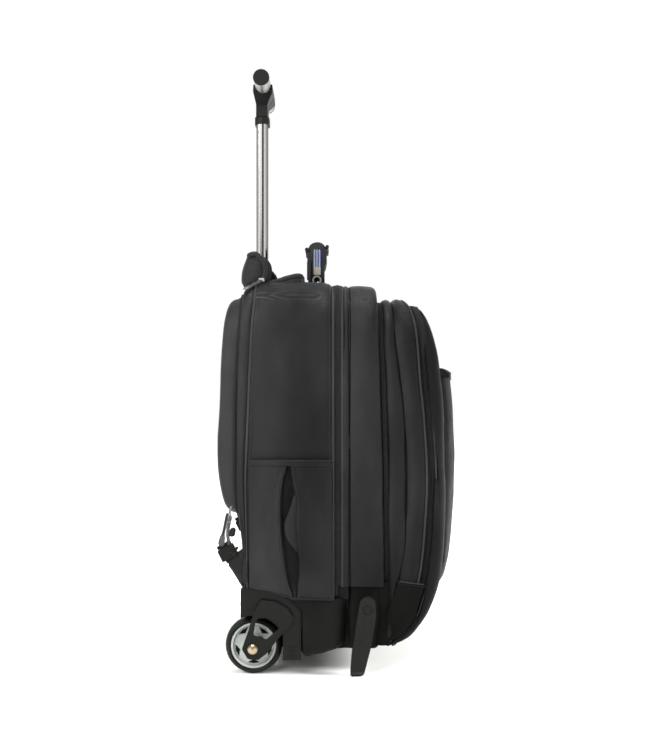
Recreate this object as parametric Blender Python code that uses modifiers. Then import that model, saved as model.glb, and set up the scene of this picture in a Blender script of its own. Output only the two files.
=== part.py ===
"""Rolling laptop backpack case: a soft two-half case on a moulded wheel base, with a telescoping T-handle.

Metres, +Z up. The front of the case faces -Y, the wheels and the handle are at +Y, and the user's
left-hand side, seen from the front, is -X. The origin is on the floor, under the middle of the case.
"""
import math

import bmesh
import bpy
from mathutils import Matrix, Vector

# ---------------------------------------------------------------- driving dimensions
GAP = 0.0003            # clearance between pieces that touch
WALL = 0.003            # sewn fabric with its foam backing
SIDES = {"left": -1, "right": 1}

CASE_HALF_W = 0.170     # main half of the case
CASE_TOP = 0.498
CASE_REAR = 0.119
CASE_FRONT = 0.005      # rear edge of the main zip
BASE_LOW = 0.025
BASE_TOP = 0.0955
BASE_FRONT = -0.0125
ZIP_MIDDLE = -0.0053    # the main zip's teeth
ZIP_INSET = 0.004

FRONT_HALF_W = 0.166    # front half of the case
FRONT_TOP = 0.492
FRONT_REAR = -0.018
FRONT_WALL_TOP_Y = -0.0517
FRONT_WALL_LOW_Y = -0.0592
FRONT_LOW = 0.112
SECTION_HINGE = (-0.0545, 0.036)
POCKET_HALF_W = 0.160
POCKET_TOP = 0.476
PANEL_HALF_W = 0.152
PANEL_HINGE = (-0.0600, 0.0400)
SLIP_HALF_W = 0.126

PULLER_START = (-0.1260, 0.0965, 0.4995)
PULLER_END = (-0.1503, 0.1180, 0.4855)
PULLER_LENGTH = 0.0355
SHOULDER_NORMAL = (-0.5, 0.0, 0.866)

WHEEL_CENTRE = (0.105, 0.036)
WHEEL_R = 0.036
WHEEL_X = 0.145
WHEEL_W = 0.024
RIM_R = 0.0287
AXLE_R = 0.004
BEARING_R = 0.011
HOUSING_IN = 0.1235
HOUSING_OUT = 0.172
HOUSING_FRONT = 0.0448
HOUSING_TOP = 0.111
NOTCH_X = 0.117         # the case is cut away outside this, for the wheel housings

POLE_Y = 0.101
POLE_OUTER = (0.044, 0.022)
POLE_MIDDLE = (0.038, 0.016)
POLE_INNER = (0.034, 0.012)
TUBE_WALL = 0.0012
WELL_FLOOR = 0.4520     # the handle sinks into a well in the roof
WELL_HALF_W = 0.1035
POLE_TOP = 0.728        # top of the middle tube as it stands
BAR_CENTRE = (0.0985, 0.7685)
BAR_R = 0.0105
BAR_HALF = 0.092

CARRY_RING = (0.0255, 0.5045)
CARRY_RING_R = 0.0062
HOOD_HALF_W = 0.112
HOOD_HINGE = (0.1225, 0.4995)

# Side profiles as (y, z), from top to bottom.
POCKET_FRONT = [(-0.0850, 0.4750), (-0.0931, 0.4660), (-0.1006, 0.4344), (-0.1056, 0.3717),
                (-0.1106, 0.3216), (-0.1144, 0.2464), (-0.1094, 0.1712), (-0.0993, 0.1211),
                (-0.0793, 0.0772), (-0.0620, 0.0480)]
PANEL_FRONT = [(-0.1010, 0.4665), (-0.1100, 0.4600), (-0.1194, 0.4344), (-0.1269, 0.3868),
               (-0.1310, 0.3216), (-0.1310, 0.2464), (-0.1250, 0.1712), (-0.1150, 0.1211),
               (-0.0925, 0.0710), (-0.0660, 0.0380)]
SLIP_FRONT = [(-0.1470, 0.3770), (-0.1500, 0.3216), (-0.1515, 0.2650), (-0.1490, 0.2150),
              (-0.1420, 0.1600), (-0.1290, 0.1170)]
BACK_REAR = [(0.1300, 0.4815), (0.1370, 0.4740), (0.1415, 0.4580), (0.1450, 0.4220),
             (0.1490, 0.3470), (0.1515, 0.2900), (0.1490, 0.2440), (0.1430, 0.2150),
             (0.1350, 0.2010), (0.1290, 0.1975)]
BACK_INSIDE = [(0.1245, 0.4775), (0.1310, 0.4690), (0.1345, 0.4550), (0.1375, 0.4200),
               (0.1410, 0.3470), (0.1435, 0.2900), (0.1410, 0.2440), (0.1350, 0.2180),
               (0.1290, 0.2060), (0.1245, 0.2015)]

# ---------------------------------------------------------------- scene and helpers
for old in list(bpy.data.objects):
    bpy.data.objects.remove(old)

PARTS = bpy.data.collections.new("rolling_laptop_case")
CUTTERS = bpy.data.collections.new("cutters")
bpy.context.scene.collection.children.link(PARTS)
bpy.context.scene.collection.children.link(CUTTERS)


def material(name, colour, roughness, metallic=0.0):
    made = bpy.data.materials.new(name)
    made.use_nodes = True
    shader = made.node_tree.nodes["Principled BSDF"]
    shader.inputs["Base Color"].default_value = (*colour, 1.0)
    shader.inputs["Roughness"].default_value = roughness
    shader.inputs["Metallic"].default_value = metallic
    return made


NYLON = material("nylon", (0.022, 0.022, 0.024), 0.55)
BASE_NYLON = material("base_nylon", (0.016, 0.016, 0.017), 0.6)
TAPE = material("zip_tape", (0.010, 0.010, 0.011), 0.6)
WEBBING = material("webbing", (0.012, 0.012, 0.013), 0.75)
PADDING = material("padding", (0.030, 0.031, 0.033), 0.8)
PLASTIC = material("plastic", (0.045, 0.047, 0.046), 0.5)
BOARD = material("board", (0.05, 0.05, 0.055), 0.5)
STEEL = material("steel", (0.70, 0.69, 0.67), 0.18, 1.0)
SATIN = material("satin_aluminium", (0.62, 0.60, 0.58), 0.38, 1.0)
TYRE = material("tyre", (0.035, 0.037, 0.036), 0.6)
RIM = material("rim", (0.55, 0.58, 0.57), 0.35, 0.6)
NICKEL = material("nickel", (0.60, 0.58, 0.52), 0.25, 1.0)


def smoothed(obj):
    obj.data.shade_smooth()
    obj.data.set_sharp_from_angle(angle=math.radians(35))


def add(obj, finish=None):
    """Puts an object in the model, or with no finish among the cutters."""
    for home in list(obj.users_collection):
        home.objects.unlink(obj)
    if finish is None:
        CUTTERS.objects.link(obj)
        obj.hide_render = True
        obj.display_type = "WIRE"
    else:
        PARTS.objects.link(obj)
        obj.data.materials.clear()
        obj.data.materials.append(finish)
    return obj


def rounded(corners, radii, steps=4):
    """A closed outline through the corners, each replaced by an arc of its radius."""
    if not hasattr(radii, "__len__"):
        radii = [radii] * len(corners)
    outline = []
    for i, radius in enumerate(radii):
        here = Vector(corners[i])
        before = (Vector(corners[i - 1]) - here)
        after = (Vector(corners[(i + 1) % len(corners)]) - here)
        half = before.angle(after) / 2
        reach = min(radius / math.tan(half), before.length * 0.49, after.length * 0.49)
        if radius < 1e-6 or half > math.radians(89):
            outline.append(tuple(here))
            continue
        start = here + before.normalized() * reach
        end = here + after.normalized() * reach
        middle = here + (before.normalized() + after.normalized()).normalized() * (reach / math.cos(half))
        spread = (start - middle).angle_signed(end - middle)
        for k in range(steps + 1):
            turn = Matrix.Rotation(-spread * k / steps, 2)
            outline.append(tuple(middle + turn @ (start - middle)))
    return outline


def curve_through(points, steps=3):
    """Points along a Catmull-Rom curve through the given ones."""
    ends = [points[0], *points, points[-1]]
    found = []
    for i in range(1, len(ends) - 2):
        a, b, c, d = (Vector(ends[i + k]) for k in (-1, 0, 1, 2))
        for k in range(steps):
            t = k / steps
            found.append(tuple(0.5 * (2 * b + (c - a) * t + (2 * a - 5 * b + 4 * c - d) * t * t
                                      + (3 * b - a - 3 * c + d) * t ** 3)))
    return found + [tuple(points[-1])]


def circle(centre, radius, count=24, start=0.0):
    return [(centre[0] + radius * math.cos(start + math.tau * k / count),
             centre[1] + radius * math.sin(start + math.tau * k / count)) for k in range(count)]


def stadium(width, depth, count=10):
    """A flat-sided oval about the origin, long along its first axis."""
    reach, radius = (width - depth) / 2, depth / 2
    ends = []
    for side, first in ((1, -math.pi / 2), (-1, math.pi / 2)):
        for k in range(count + 1):
            angle = first + math.pi * k / count
            ends.append((side * reach + radius * math.cos(angle), radius * math.sin(angle)))
    return ends


# Where a prism's outline axes and its depth point in the world.
PLANES = {
    "yz": Matrix(((0, 0, 1), (1, 0, 0), (0, 1, 0))),
    "xz": Matrix(((1, 0, 0), (0, 0, -1), (0, 1, 0))),
    "xy": Matrix.Identity(3),
}


def prism(name, outlines, plane, low, high, finish=None, location=(0, 0, 0)):
    """A flat outline, or several with holes, drawn in a plane and thick from low to high across it."""
    if not hasattr(outlines[0][0], "__len__"):
        outlines = [outlines]
    flat = bpy.data.curves.new(name, "CURVE")
    flat.dimensions = "2D"
    flat.fill_mode = "BOTH"
    flat.extrude = (high - low) / 2
    for outline in outlines:
        spline = flat.splines.new("POLY")
        spline.points.add(len(outline) - 1)
        for point, (u, v) in zip(spline.points, outline):
            point.co = (u, v, 0, 1)
        spline.use_cyclic_u = True
    drawn = bpy.data.objects.new(name, flat)
    bpy.context.scene.collection.objects.link(drawn)
    mesh = bpy.data.meshes.new_from_object(drawn.evaluated_get(bpy.context.evaluated_depsgraph_get()))
    bpy.data.objects.remove(drawn)
    shape = bmesh.new()
    shape.from_mesh(mesh)
    bmesh.ops.remove_doubles(shape, verts=shape.verts, dist=1e-6)
    turn = PLANES[plane]
    middle = (low + high) / 2
    normal = turn @ Vector((0, 0, 1))
    bmesh.ops.transform(shape, matrix=Matrix.Translation(normal * middle) @ turn.to_4x4(),
                        verts=shape.verts)
    bmesh.ops.recalc_face_normals(shape, faces=shape.faces)
    shape.to_mesh(mesh)
    shape.free()
    made = bpy.data.objects.new(name, mesh)
    made.location = location
    return add(made, finish)


def box(name, low, high, finish=None):
    """A block between two corners."""
    bpy.ops.mesh.primitive_cube_add(size=1)
    made = bpy.context.object
    made.name = name
    size = [b - a for a, b in zip(low, high)]
    made.data.transform(Matrix.Diagonal((*size, 1)))
    made.location = [(a + b) / 2 for a, b in zip(low, high)]
    return add(made, finish)


def turned(name, profile, centre, finish=None, steps=40, along="x"):
    """A closed profile of (radius, distance) turned about an axis through centre."""
    shape = bmesh.new()
    points = [shape.verts.new((radius, 0, distance)) for radius, distance in profile]
    for a, b in zip(points, points[1:]):
        shape.edges.new((a, b))
    if profile[0][0] > 1e-9:
        shape.edges.new((points[-1], points[0]))
    mesh = bpy.data.meshes.new(name)
    shape.to_mesh(mesh)
    shape.free()
    made = bpy.data.objects.new(name, mesh)
    screw = made.modifiers.new("turn", "SCREW")
    screw.steps = screw.render_steps = steps
    screw.use_merge_vertices = True
    screw.merge_threshold = 1e-5
    made.location = centre
    if along == "x":
        made.rotation_euler = (0, math.pi / 2, 0)
    return add(made, finish)


def boolean(obj, other, operation):
    change = obj.modifiers.new(operation.lower(), "BOOLEAN")
    change.operation = operation
    change.solver = "EXACT"
    change.object = other
    return obj


def cut(obj, *others):
    for other in others:
        boolean(obj, other, "DIFFERENCE")
    return obj


def join(obj, *others):
    for other in others:
        boolean(obj, other, "UNION")
    return obj


def arch(half_width, low, high, top_radius, bottom_radius):
    """The case's outline seen from the front: square at the foot, round at the shoulders."""
    return rounded([(-half_width, low), (half_width, low), (half_width, high), (-half_width, high)],
                   [bottom_radius, bottom_radius, top_radius, top_radius], steps=6)


def moulded(name, side, front, half_width, finish=None):
    """What a side outline (y, z) and a front outline (x, z) have in common."""
    block = prism(name, side, "yz", -half_width - 0.01, half_width + 0.01, finish)
    depths = [y for y, _ in side]
    mask = prism(name + "_mask", front, "xz", -max(depths) - 0.01, -min(depths) + 0.01)
    return boolean(block, mask, "INTERSECT")


def moving(name, place, pieces):
    """An empty on a joint's axis that carries the pieces of one moving body."""
    pivot = bpy.data.objects.new(name + "_pivot", None)
    pivot.location = place
    pivot.empty_display_size = 0.02
    PARTS.objects.link(pivot)
    bpy.context.view_layer.update()
    for piece in pieces:
        piece.parent = pivot
        piece.matrix_parent_inverse = pivot.matrix_world.inverted()


def moved(profile, dy=0.0, dz=0.0):
    return [(y + dy, z + dz) for y, z in profile]


# ---------------------------------------------------------------- main half of the case
def notch_cutters(tag, grow):
    """Blocks that clear the two wheel housings, grown by a wall's thickness for the inside."""
    return [box(f"notch_{tag}_{name}",
                (min(side * (NOTCH_X - grow), side * 0.2), HOUSING_FRONT - GAP - grow, 0.0),
                (max(side * (NOTCH_X - grow), side * 0.2), 0.13, HOUSING_TOP + GAP + grow))
            for name, side in SIDES.items()]


def main_half():
    """The laptop half: an arched shell, open at the front, standing on a tub of heavier cloth."""
    full = arch(CASE_HALF_W, BASE_LOW, CASE_TOP, 0.065, 0.020)
    inside = arch(CASE_HALF_W - WALL, BASE_LOW + WALL, CASE_TOP - WALL, 0.062, 0.017)

    shell = moulded("main_compartment",
                    rounded([(CASE_FRONT, BASE_TOP + GAP), (CASE_REAR, BASE_TOP + GAP),
                             (CASE_REAR, CASE_TOP), (CASE_FRONT, CASE_TOP)], [0, 0, 0.014, 0.004]),
                    full, CASE_HALF_W, NYLON)
    hollow = moulded("main_hollow", [(-0.03, 0.05), (CASE_REAR - WALL, 0.05),
                                     (CASE_REAR - WALL, CASE_TOP), (-0.03, CASE_TOP)],
                     inside, CASE_HALF_W)
    cut(hollow, *notch_cutters("inside", WALL))
    well_mouth = box("well_mouth", (-WELL_HALF_W, 0.0825, 0.48), (WELL_HALF_W, 0.1155, 0.52))
    cut(shell, hollow, *notch_cutters("outside", 0.0), well_mouth)

    tub = moulded("base_tub",
                  rounded([(BASE_FRONT, BASE_LOW), (CASE_REAR, BASE_LOW), (CASE_REAR, BASE_TOP),
                           (BASE_FRONT, BASE_TOP)], [0.018, 0.004, 0, 0]),
                  full, CASE_HALF_W, BASE_NYLON)
    tub_hollow = moulded("tub_hollow",
                         rounded([(BASE_FRONT + WALL, BASE_LOW + WALL), (CASE_REAR - WALL, BASE_LOW + WALL),
                                  (CASE_REAR - WALL, 0.12), (BASE_FRONT + WALL, 0.12)], [0.015, 0, 0, 0]),
                         inside, CASE_HALF_W)
    cut(tub_hollow, *notch_cutters("tub_inside", WALL))
    cut(tub, tub_hollow, *notch_cutters("tub_outside", 0.0))


def zip_tape(name, low, high, half_width, top, finish=TAPE):
    """One half of the main zip's tape: an arch-shaped strip, set in from the panels beside it."""
    outer = arch(half_width - ZIP_INSET, BASE_TOP + 0.001 - 0.05, top - ZIP_INSET, 0.061, 0.001)
    inner = arch(half_width - ZIP_INSET - 0.002, 0.02, top - ZIP_INSET - 0.002, 0.059, 0.001)
    strip = prism(name, outer, "xz", -high, -low, finish)
    below = box(name + "_below", (-0.2, low - 0.01, 0.0), (0.2, high + 0.01, FRONT_LOW + 0.001))
    return cut(strip, prism(name + "_inner", inner, "xz", -high - 0.01, -low + 0.01), below)


def inside_pieces():
    """What the main half holds: the stiff back sheet, the padded laptop divider and the straps' store."""
    prism("frame_sheet", rounded([(-0.150, 0.120), (0.150, 0.120), (0.150, 0.445), (-0.150, 0.445)],
                                 [0.01, 0.01, 0.05, 0.05]), "xz", -0.0855, -0.0835, BOARD)
    narrow, wide = NOTCH_X - 0.008, 0.158
    prism("laptop_divider",
          [(-narrow, 0.0284), (narrow, 0.0284), (narrow, 0.118), (wide, 0.118), (wide, 0.340),
           (-wide, 0.340), (-wide, 0.118), (-narrow, 0.118)], "xz", -0.068, -0.062, PADDING)
    for name, side in SIDES.items():
        inner, outer = sorted((side * 0.028, side * 0.100))
        prism(f"shoulder_strap_{name}",
              rounded([(inner, 0.215), (outer, 0.215), (outer, 0.455), (inner, 0.455)], 0.02),
              "xz", -0.132, -0.122, PADDING)


def back_panel():
    """The padded back: a shallow shell that zips over the stored shoulder straps."""
    front_y = CASE_REAR + GAP
    outer = moulded("back_panel", [(front_y, 0.1975), (front_y, 0.4815), *curve_through(BACK_REAR, 2)],
                    arch(0.160, 0.1972, 0.4818, 0.062, 0.030), 0.160, PADDING)
    inner = moulded("back_hollow", [(front_y - 0.01, 0.2015), (front_y - 0.01, 0.4775), *BACK_INSIDE],
                    arch(0.156, 0.2018, 0.4772, 0.058, 0.026), 0.156)
    cut(outer, inner)


# ---------------------------------------------------------------- front half of the case
def front_half():
    """The swinging front: half of the main compartment, a front pocket, a zipped panel and a slip pocket."""
    slope = (FRONT_WALL_LOW_Y - FRONT_WALL_TOP_Y) / (FRONT_LOW - FRONT_TOP)

    def wall_y(z):
        return FRONT_WALL_TOP_Y + slope * (z - FRONT_TOP)

    half = moulded("front_compartment",
                   rounded([(FRONT_REAR, FRONT_LOW), (FRONT_REAR, FRONT_TOP), (wall_y(FRONT_TOP), FRONT_TOP),
                            (wall_y(FRONT_LOW), FRONT_LOW)], [0, 0.004, 0.008, 0]),
                   arch(FRONT_HALF_W, 0.05, FRONT_TOP, 0.062, 0.01), FRONT_HALF_W, NYLON)
    cut(half, moulded("front_hollow",
                      [(0.02, 0.06), (0.02, FRONT_TOP), (wall_y(FRONT_TOP) + WALL, FRONT_TOP),
                       (wall_y(0.06) + WALL, 0.06)],
                      arch(FRONT_HALF_W - WALL, 0.05, FRONT_TOP - WALL, 0.059, 0.01), FRONT_HALF_W))

    pocket_rear = wall_y(FRONT_TOP) - 0.0008, wall_y(FRONT_LOW) - GAP
    pocket_curve = curve_through(POCKET_FRONT, 2)
    pocket = moulded("front_pocket",
                     [(pocket_rear[1], 0.048), (pocket_rear[1], FRONT_LOW), (pocket_rear[0], POCKET_TOP),
                      *pocket_curve],
                     arch(POCKET_HALF_W, 0.046, POCKET_TOP, 0.068, 0.045), POCKET_HALF_W, NYLON)
    cut(pocket, moulded("pocket_hollow",
                        [(pocket_rear[1] - WALL, 0.051), (pocket_rear[1] - WALL, FRONT_LOW),
                         (pocket_rear[0] - WALL, POCKET_TOP), (-0.14, POCKET_TOP), (-0.14, 0.051)],
                        arch(POCKET_HALF_W - WALL, 0.051, POCKET_TOP - WALL, 0.065, 0.042), POCKET_HALF_W))

    panel_rear = [(y - GAP, z) for y, z in pocket_curve]
    panel_curve = curve_through(PANEL_FRONT, 2)
    panel = moulded("front_panel",
                    [(-0.0602, 0.0380), *reversed(panel_rear), *panel_curve],
                    arch(PANEL_HALF_W, 0.036, 0.470, 0.075, 0.055), PANEL_HALF_W, NYLON)
    cut(panel, moulded("panel_hollow",
                       [(-0.066, 0.052), (-0.05, 0.09), (-0.05, 0.470), *moved(panel_curve[1:-4], 0.0025),
                        (-0.0900, 0.0760)],
                       arch(PANEL_HALF_W - 0.0025, 0.040, 0.4625, 0.0725, 0.052), PANEL_HALF_W))

    slip_curve = curve_through(SLIP_FRONT, 2)
    slip_back = [(y - GAP, z) for y, z in panel_curve if 0.115 < z < 0.395]
    slip = moulded("slip_pocket", [*slip_back, *reversed(slip_curve)],
                   arch(SLIP_HALF_W, 0.110, 0.420, 0.01, 0.05), SLIP_HALF_W, NYLON)
    cut(slip, moulded("slip_hollow",
                      [*moved(slip_back, -0.0015), *reversed(moved(slip_curve[:-1], 0.0025)), (-0.150, 0.42),
                       (-0.125, 0.42)],
                      arch(SLIP_HALF_W - 0.0025, 0.124, 0.460, 0.01, 0.045), SLIP_HALF_W))
    tape = zip_tape("main_zip_tape_front", FRONT_REAR + GAP, ZIP_MIDDLE - 0.0002, FRONT_HALF_W, FRONT_TOP)
    moving("front_section", (0, *SECTION_HINGE), [half, pocket, tape])
    moving("front_panel", (0, *PANEL_HINGE), [panel, slip])


def front_base():
    """The fixed foot of the front half: an open tub that carries the two feet."""
    low, high, rear, front, half = 0.036, FRONT_LOW - 0.0005, -0.0135, -0.0545, 0.160
    tub = moulded("front_base", rounded([(front, low), (rear, low), (rear, high), (front, high)],
                                        [0.006, 0.012, 0, 0]),
                  arch(half, low, high + 0.05, 0.0, 0.015), half, BASE_NYLON)
    cut(tub, box("front_base_hollow", (-half + WALL, front + WALL, low + WALL),
                 (half - WALL, rear - WALL, high + 0.02)))


# ---------------------------------------------------------------- pockets, hood and handles of cloth
def side_pockets():
    """A pouch on each side, open at the top, whose face splits in a leaf-shaped slit under its hem."""
    for name, side in SIDES.items():
        inner, outer = CASE_HALF_W + GAP, CASE_HALF_W + 0.014
        outline = rounded([(0.0047, 0.1130), (0.1090, 0.1130), (0.1090, 0.2720), (0.0047, 0.2720)], 0.004)
        low, high = sorted((side * inner, side * outer))
        pouch = prism(f"side_pocket_{name}", outline, "yz", low, high, NYLON)
        low, high = sorted((side * (inner + 0.002), side * (outer - 0.0025)))
        hollow = prism(f"pouch_hollow_{name}", rounded([(0.0075, 0.1160), (0.1062, 0.1160),
                                                        (0.1062, 0.2800), (0.0075, 0.2800)], 0.004),
                       "yz", low, high)
        low, high = sorted((side * (outer - 0.005), side * (outer + 0.01)))
        leaf = curve_through([(0.0600, 0.2600), (0.0660, 0.2200), (0.0655, 0.1700), (0.0560, 0.1170)])
        leaf += curve_through([(0.0540, 0.1170), (0.0515, 0.1500), (0.0530, 0.2150), (0.0590, 0.2600)])
        cut(pouch, hollow, prism(f"pouch_slit_{name}", leaf, "yz", low, high))


def handle_garage():
    """The cloth housing that covers the stowed handle: a well, a hood that folds back, and a front lip."""
    well = box("garage_well", (-WELL_HALF_W + GAP, 0.0828, WELL_FLOOR), (WELL_HALF_W - GAP, 0.1152, 0.4990),
               TAPE)
    cut(well, box("well_hollow", (-WELL_HALF_W + 0.002, 0.0845, WELL_FLOOR + 0.003),
                  (WELL_HALF_W - 0.002, 0.1135, 0.52)),
        prism("well_pole_hole", stadium(POLE_MIDDLE[0] + 0.0016, POLE_MIDDLE[1] + 0.0016), "xy", 0.44, 0.47,
              location=(0, POLE_Y, 0)))

    hood = prism("garage_hood",
                 rounded([(0.1260, 0.4995), (0.1195, 0.5256), (0.1130, 0.5348), (0.0970, 0.5309),
                          (0.0866, 0.5178), (0.0850, 0.5047), (0.0880, 0.4995)], 0.003),
                 "yz", -HOOD_HALF_W, HOOD_HALF_W, PADDING)
    cut(hood, prism("hood_hollow", [(0.1200, 0.4800), (0.1190, 0.5030), (0.1140, 0.5270), (0.1080, 0.5450),
                                    (0.0700, 0.5450), (0.0700, 0.4800)],
                    "yz", -HOOD_HALF_W + 0.006, HOOD_HALF_W - 0.006))
    moving("garage_hood", (0, *HOOD_HINGE), [hood])

    lip = prism("garage_lip",
                rounded([(0.0845, 0.4985), (0.0830, 0.5030), (0.0700, 0.5080), (0.0500, 0.5125),
                         (0.0430, 0.5080), (0.0420, 0.4985)], 0.002),
                "yz", -HOOD_HALF_W, HOOD_HALF_W, PADDING)
    cut(lip, prism("lip_hollow", [(0.1100, 0.4800), (0.1100, 0.5300), (0.0505, 0.5300), (0.0505, 0.4800)],
                   "yz", -HOOD_HALF_W + 0.007, HOOD_HALF_W - 0.007))

    box("garage_zip_slider", (-0.1232, 0.0930, 0.4985), (-0.1135, 0.1000, 0.5030), NICKEL)
    # The puller lies on the slope of the left shoulder.
    puller = box("garage_zip_puller", (0.0, -0.0027, -0.0008), (PULLER_LENGTH, 0.0027, 0.0008), NICKEL)
    along = Vector(PULLER_END) - Vector(PULLER_START)
    across = Vector(SHOULDER_NORMAL).cross(along).normalized()
    turn = Matrix((along.normalized(), across, along.normalized().cross(across))).transposed()
    puller.data.transform(Matrix.Translation(puller.location))
    puller.data.transform(turn.to_4x4())
    puller.location = PULLER_START
    moving("garage_zip_puller", PULLER_START, [puller])


def carry_handle():
    """The short grab handle: a webbing loop with a padded grip, hung on two fixed metal rings."""
    ring_y, ring_z = CARRY_RING
    half = 0.0135
    grip = moulded("carry_grip",
                   rounded([(ring_y - half, ring_z + 0.020), (ring_y + half, ring_z + 0.020),
                            (ring_y + half, ring_z + 0.043), (ring_y + 0.0110, ring_z + 0.049),
                            (ring_y, ring_z + 0.0530), (ring_y - 0.0110, ring_z + 0.049),
                            (ring_y - half, ring_z + 0.043)], [0.002, 0.002, 0.003, 0.003, 0.02, 0.003, 0.003]),
                   rounded([(-0.058, ring_z + 0.018), (0.058, ring_z + 0.018), (0.052, ring_z + 0.055),
                            (-0.052, ring_z + 0.055)], 0.004), 0.058, PADDING)
    cut(grip, prism("grip_channel",
                    rounded([(-0.070, ring_z), (0.070, ring_z), (0.055, ring_z + 0.045),
                             (-0.055, ring_z + 0.045)], 0.006), "xz", -ring_y - 0.0095, -ring_y + 0.0095))
    foot = ring_z + CARRY_RING_R + GAP
    loop = prism("carry_webbing",
                 rounded([(-0.0640, foot), (-0.0545, ring_z + 0.045 - GAP), (0.0545, ring_z + 0.045 - GAP),
                          (0.0640, foot)], [0.0, 0.010, 0.010, 0.0]),
                 "xz", -ring_y - 0.0092, -ring_y + 0.0092, WEBBING)
    cut(loop, prism("loop_hollow",
                    rounded([(-0.0610, foot - 0.01), (-0.0515, ring_z + 0.0417), (0.0515, ring_z + 0.0417),
                             (0.0610, foot - 0.01)], [0.0, 0.008, 0.008, 0.0]), "xz", -0.1, 0.1))
    for name, side in SIDES.items():
        prism(f"carry_ring_{name}", [circle(CARRY_RING, CARRY_RING_R), circle(CARRY_RING, CARRY_RING_R - 0.0022)],
              "yz", *sorted((side * 0.0590, side * 0.0660)), NICKEL)
    moving("carry_handle", (0, *CARRY_RING), [grip, loop])


def strap_ends():
    """At each lower corner a sewn wing holds a buckle, which joins the strap that leaves the back panel."""
    for name, side in SIDES.items():
        low, high = sorted((side * 0.1630, side * 0.1655))
        prism(f"strap_wing_{name}",
              rounded([(CASE_REAR + GAP, 0.1540), (CASE_REAR + GAP, 0.1130), (0.1350, 0.1420),
                       (0.1225, 0.1510)], 0.001), "yz", low, high, WEBBING)
        tilt = Matrix.Rotation(math.radians(-28), 2)
        centre = Vector((0.1365, 0.1540))

        def tilted(points):
            return [tuple(centre + tilt @ Vector(p)) for p in points]

        low, high = sorted((side * 0.1580, side * 0.1700))
        socket = prism(f"buckle_socket_{name}",
                       rounded(tilted([(-0.0110, -0.0070), (0.0110, -0.0070), (0.0105, 0.0090),
                                       (-0.0105, 0.0090)]), 0.002), "yz", low, high, PLASTIC)
        low, high = sorted((side * 0.1610, side * 0.1670))
        cut(socket, prism(f"socket_slot_{name}", tilted([(-0.0080, -0.0030), (0.0080, -0.0030),
                                                         (0.0080, 0.02), (-0.0080, 0.02)]),
                          "yz", low, high))
        low, high = sorted((side * 0.1615, side * 0.1665))
        plug = prism(f"buckle_plug_{name}",
                     tilted([(-0.0075, -0.0020), (0.0075, -0.0020), (0.0075, 0.0095), (0.0095, 0.0095),
                             (0.0090, 0.0135), (-0.0095, 0.0135), (-0.0095, 0.0095), (-0.0075, 0.0095)]),
                     "yz", low, high, PLASTIC)
        moving(f"buckle_plug_{name}", (side * 0.164, *centre), [plug])
        low, high = sorted((side * 0.1707, side * 0.1730))
        pull = prism(f"strap_puller_{name}",
                     rounded([(0.1365, 0.2070), (0.1395, 0.2080), (0.1490, 0.1660), (0.1430, 0.1640)], 0.001),
                     "yz", low, high, PLASTIC)
        moving(f"strap_puller_{name}", (side * 0.1718, 0.1380, 0.2070), [pull])


# ---------------------------------------------------------------- wheels, housings and feet
def housing_outline():
    """The moulded corner seen from the side: an arched top, and a round well above the wheel."""
    wheel_y, wheel_z = WHEEL_CENTRE
    reach = WHEEL_R + 0.0045
    rear_y, leg_y = 0.1205, 0.0675
    first = math.atan2(math.sqrt(reach ** 2 - (rear_y - wheel_y) ** 2), rear_y - wheel_y)
    last = math.atan2(math.sqrt(reach ** 2 - (leg_y - wheel_y) ** 2), leg_y - wheel_y)
    well = [(wheel_y + reach * math.cos(first + (last - first) * k / 12),
             wheel_z + reach * math.sin(first + (last - first) * k / 12)) for k in range(13)]
    top = curve_through([(HOUSING_FRONT, 0.0800), (0.0500, 0.0880), (0.0590, 0.0970), (0.0720, 0.1055),
                         (0.0880, 0.1100), (0.1010, HOUSING_TOP)], 2)
    return [(leg_y, 0.0210), (HOUSING_FRONT, 0.0210), *top, (0.1175, HOUSING_TOP), (rear_y, 0.1080), *well]


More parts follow.
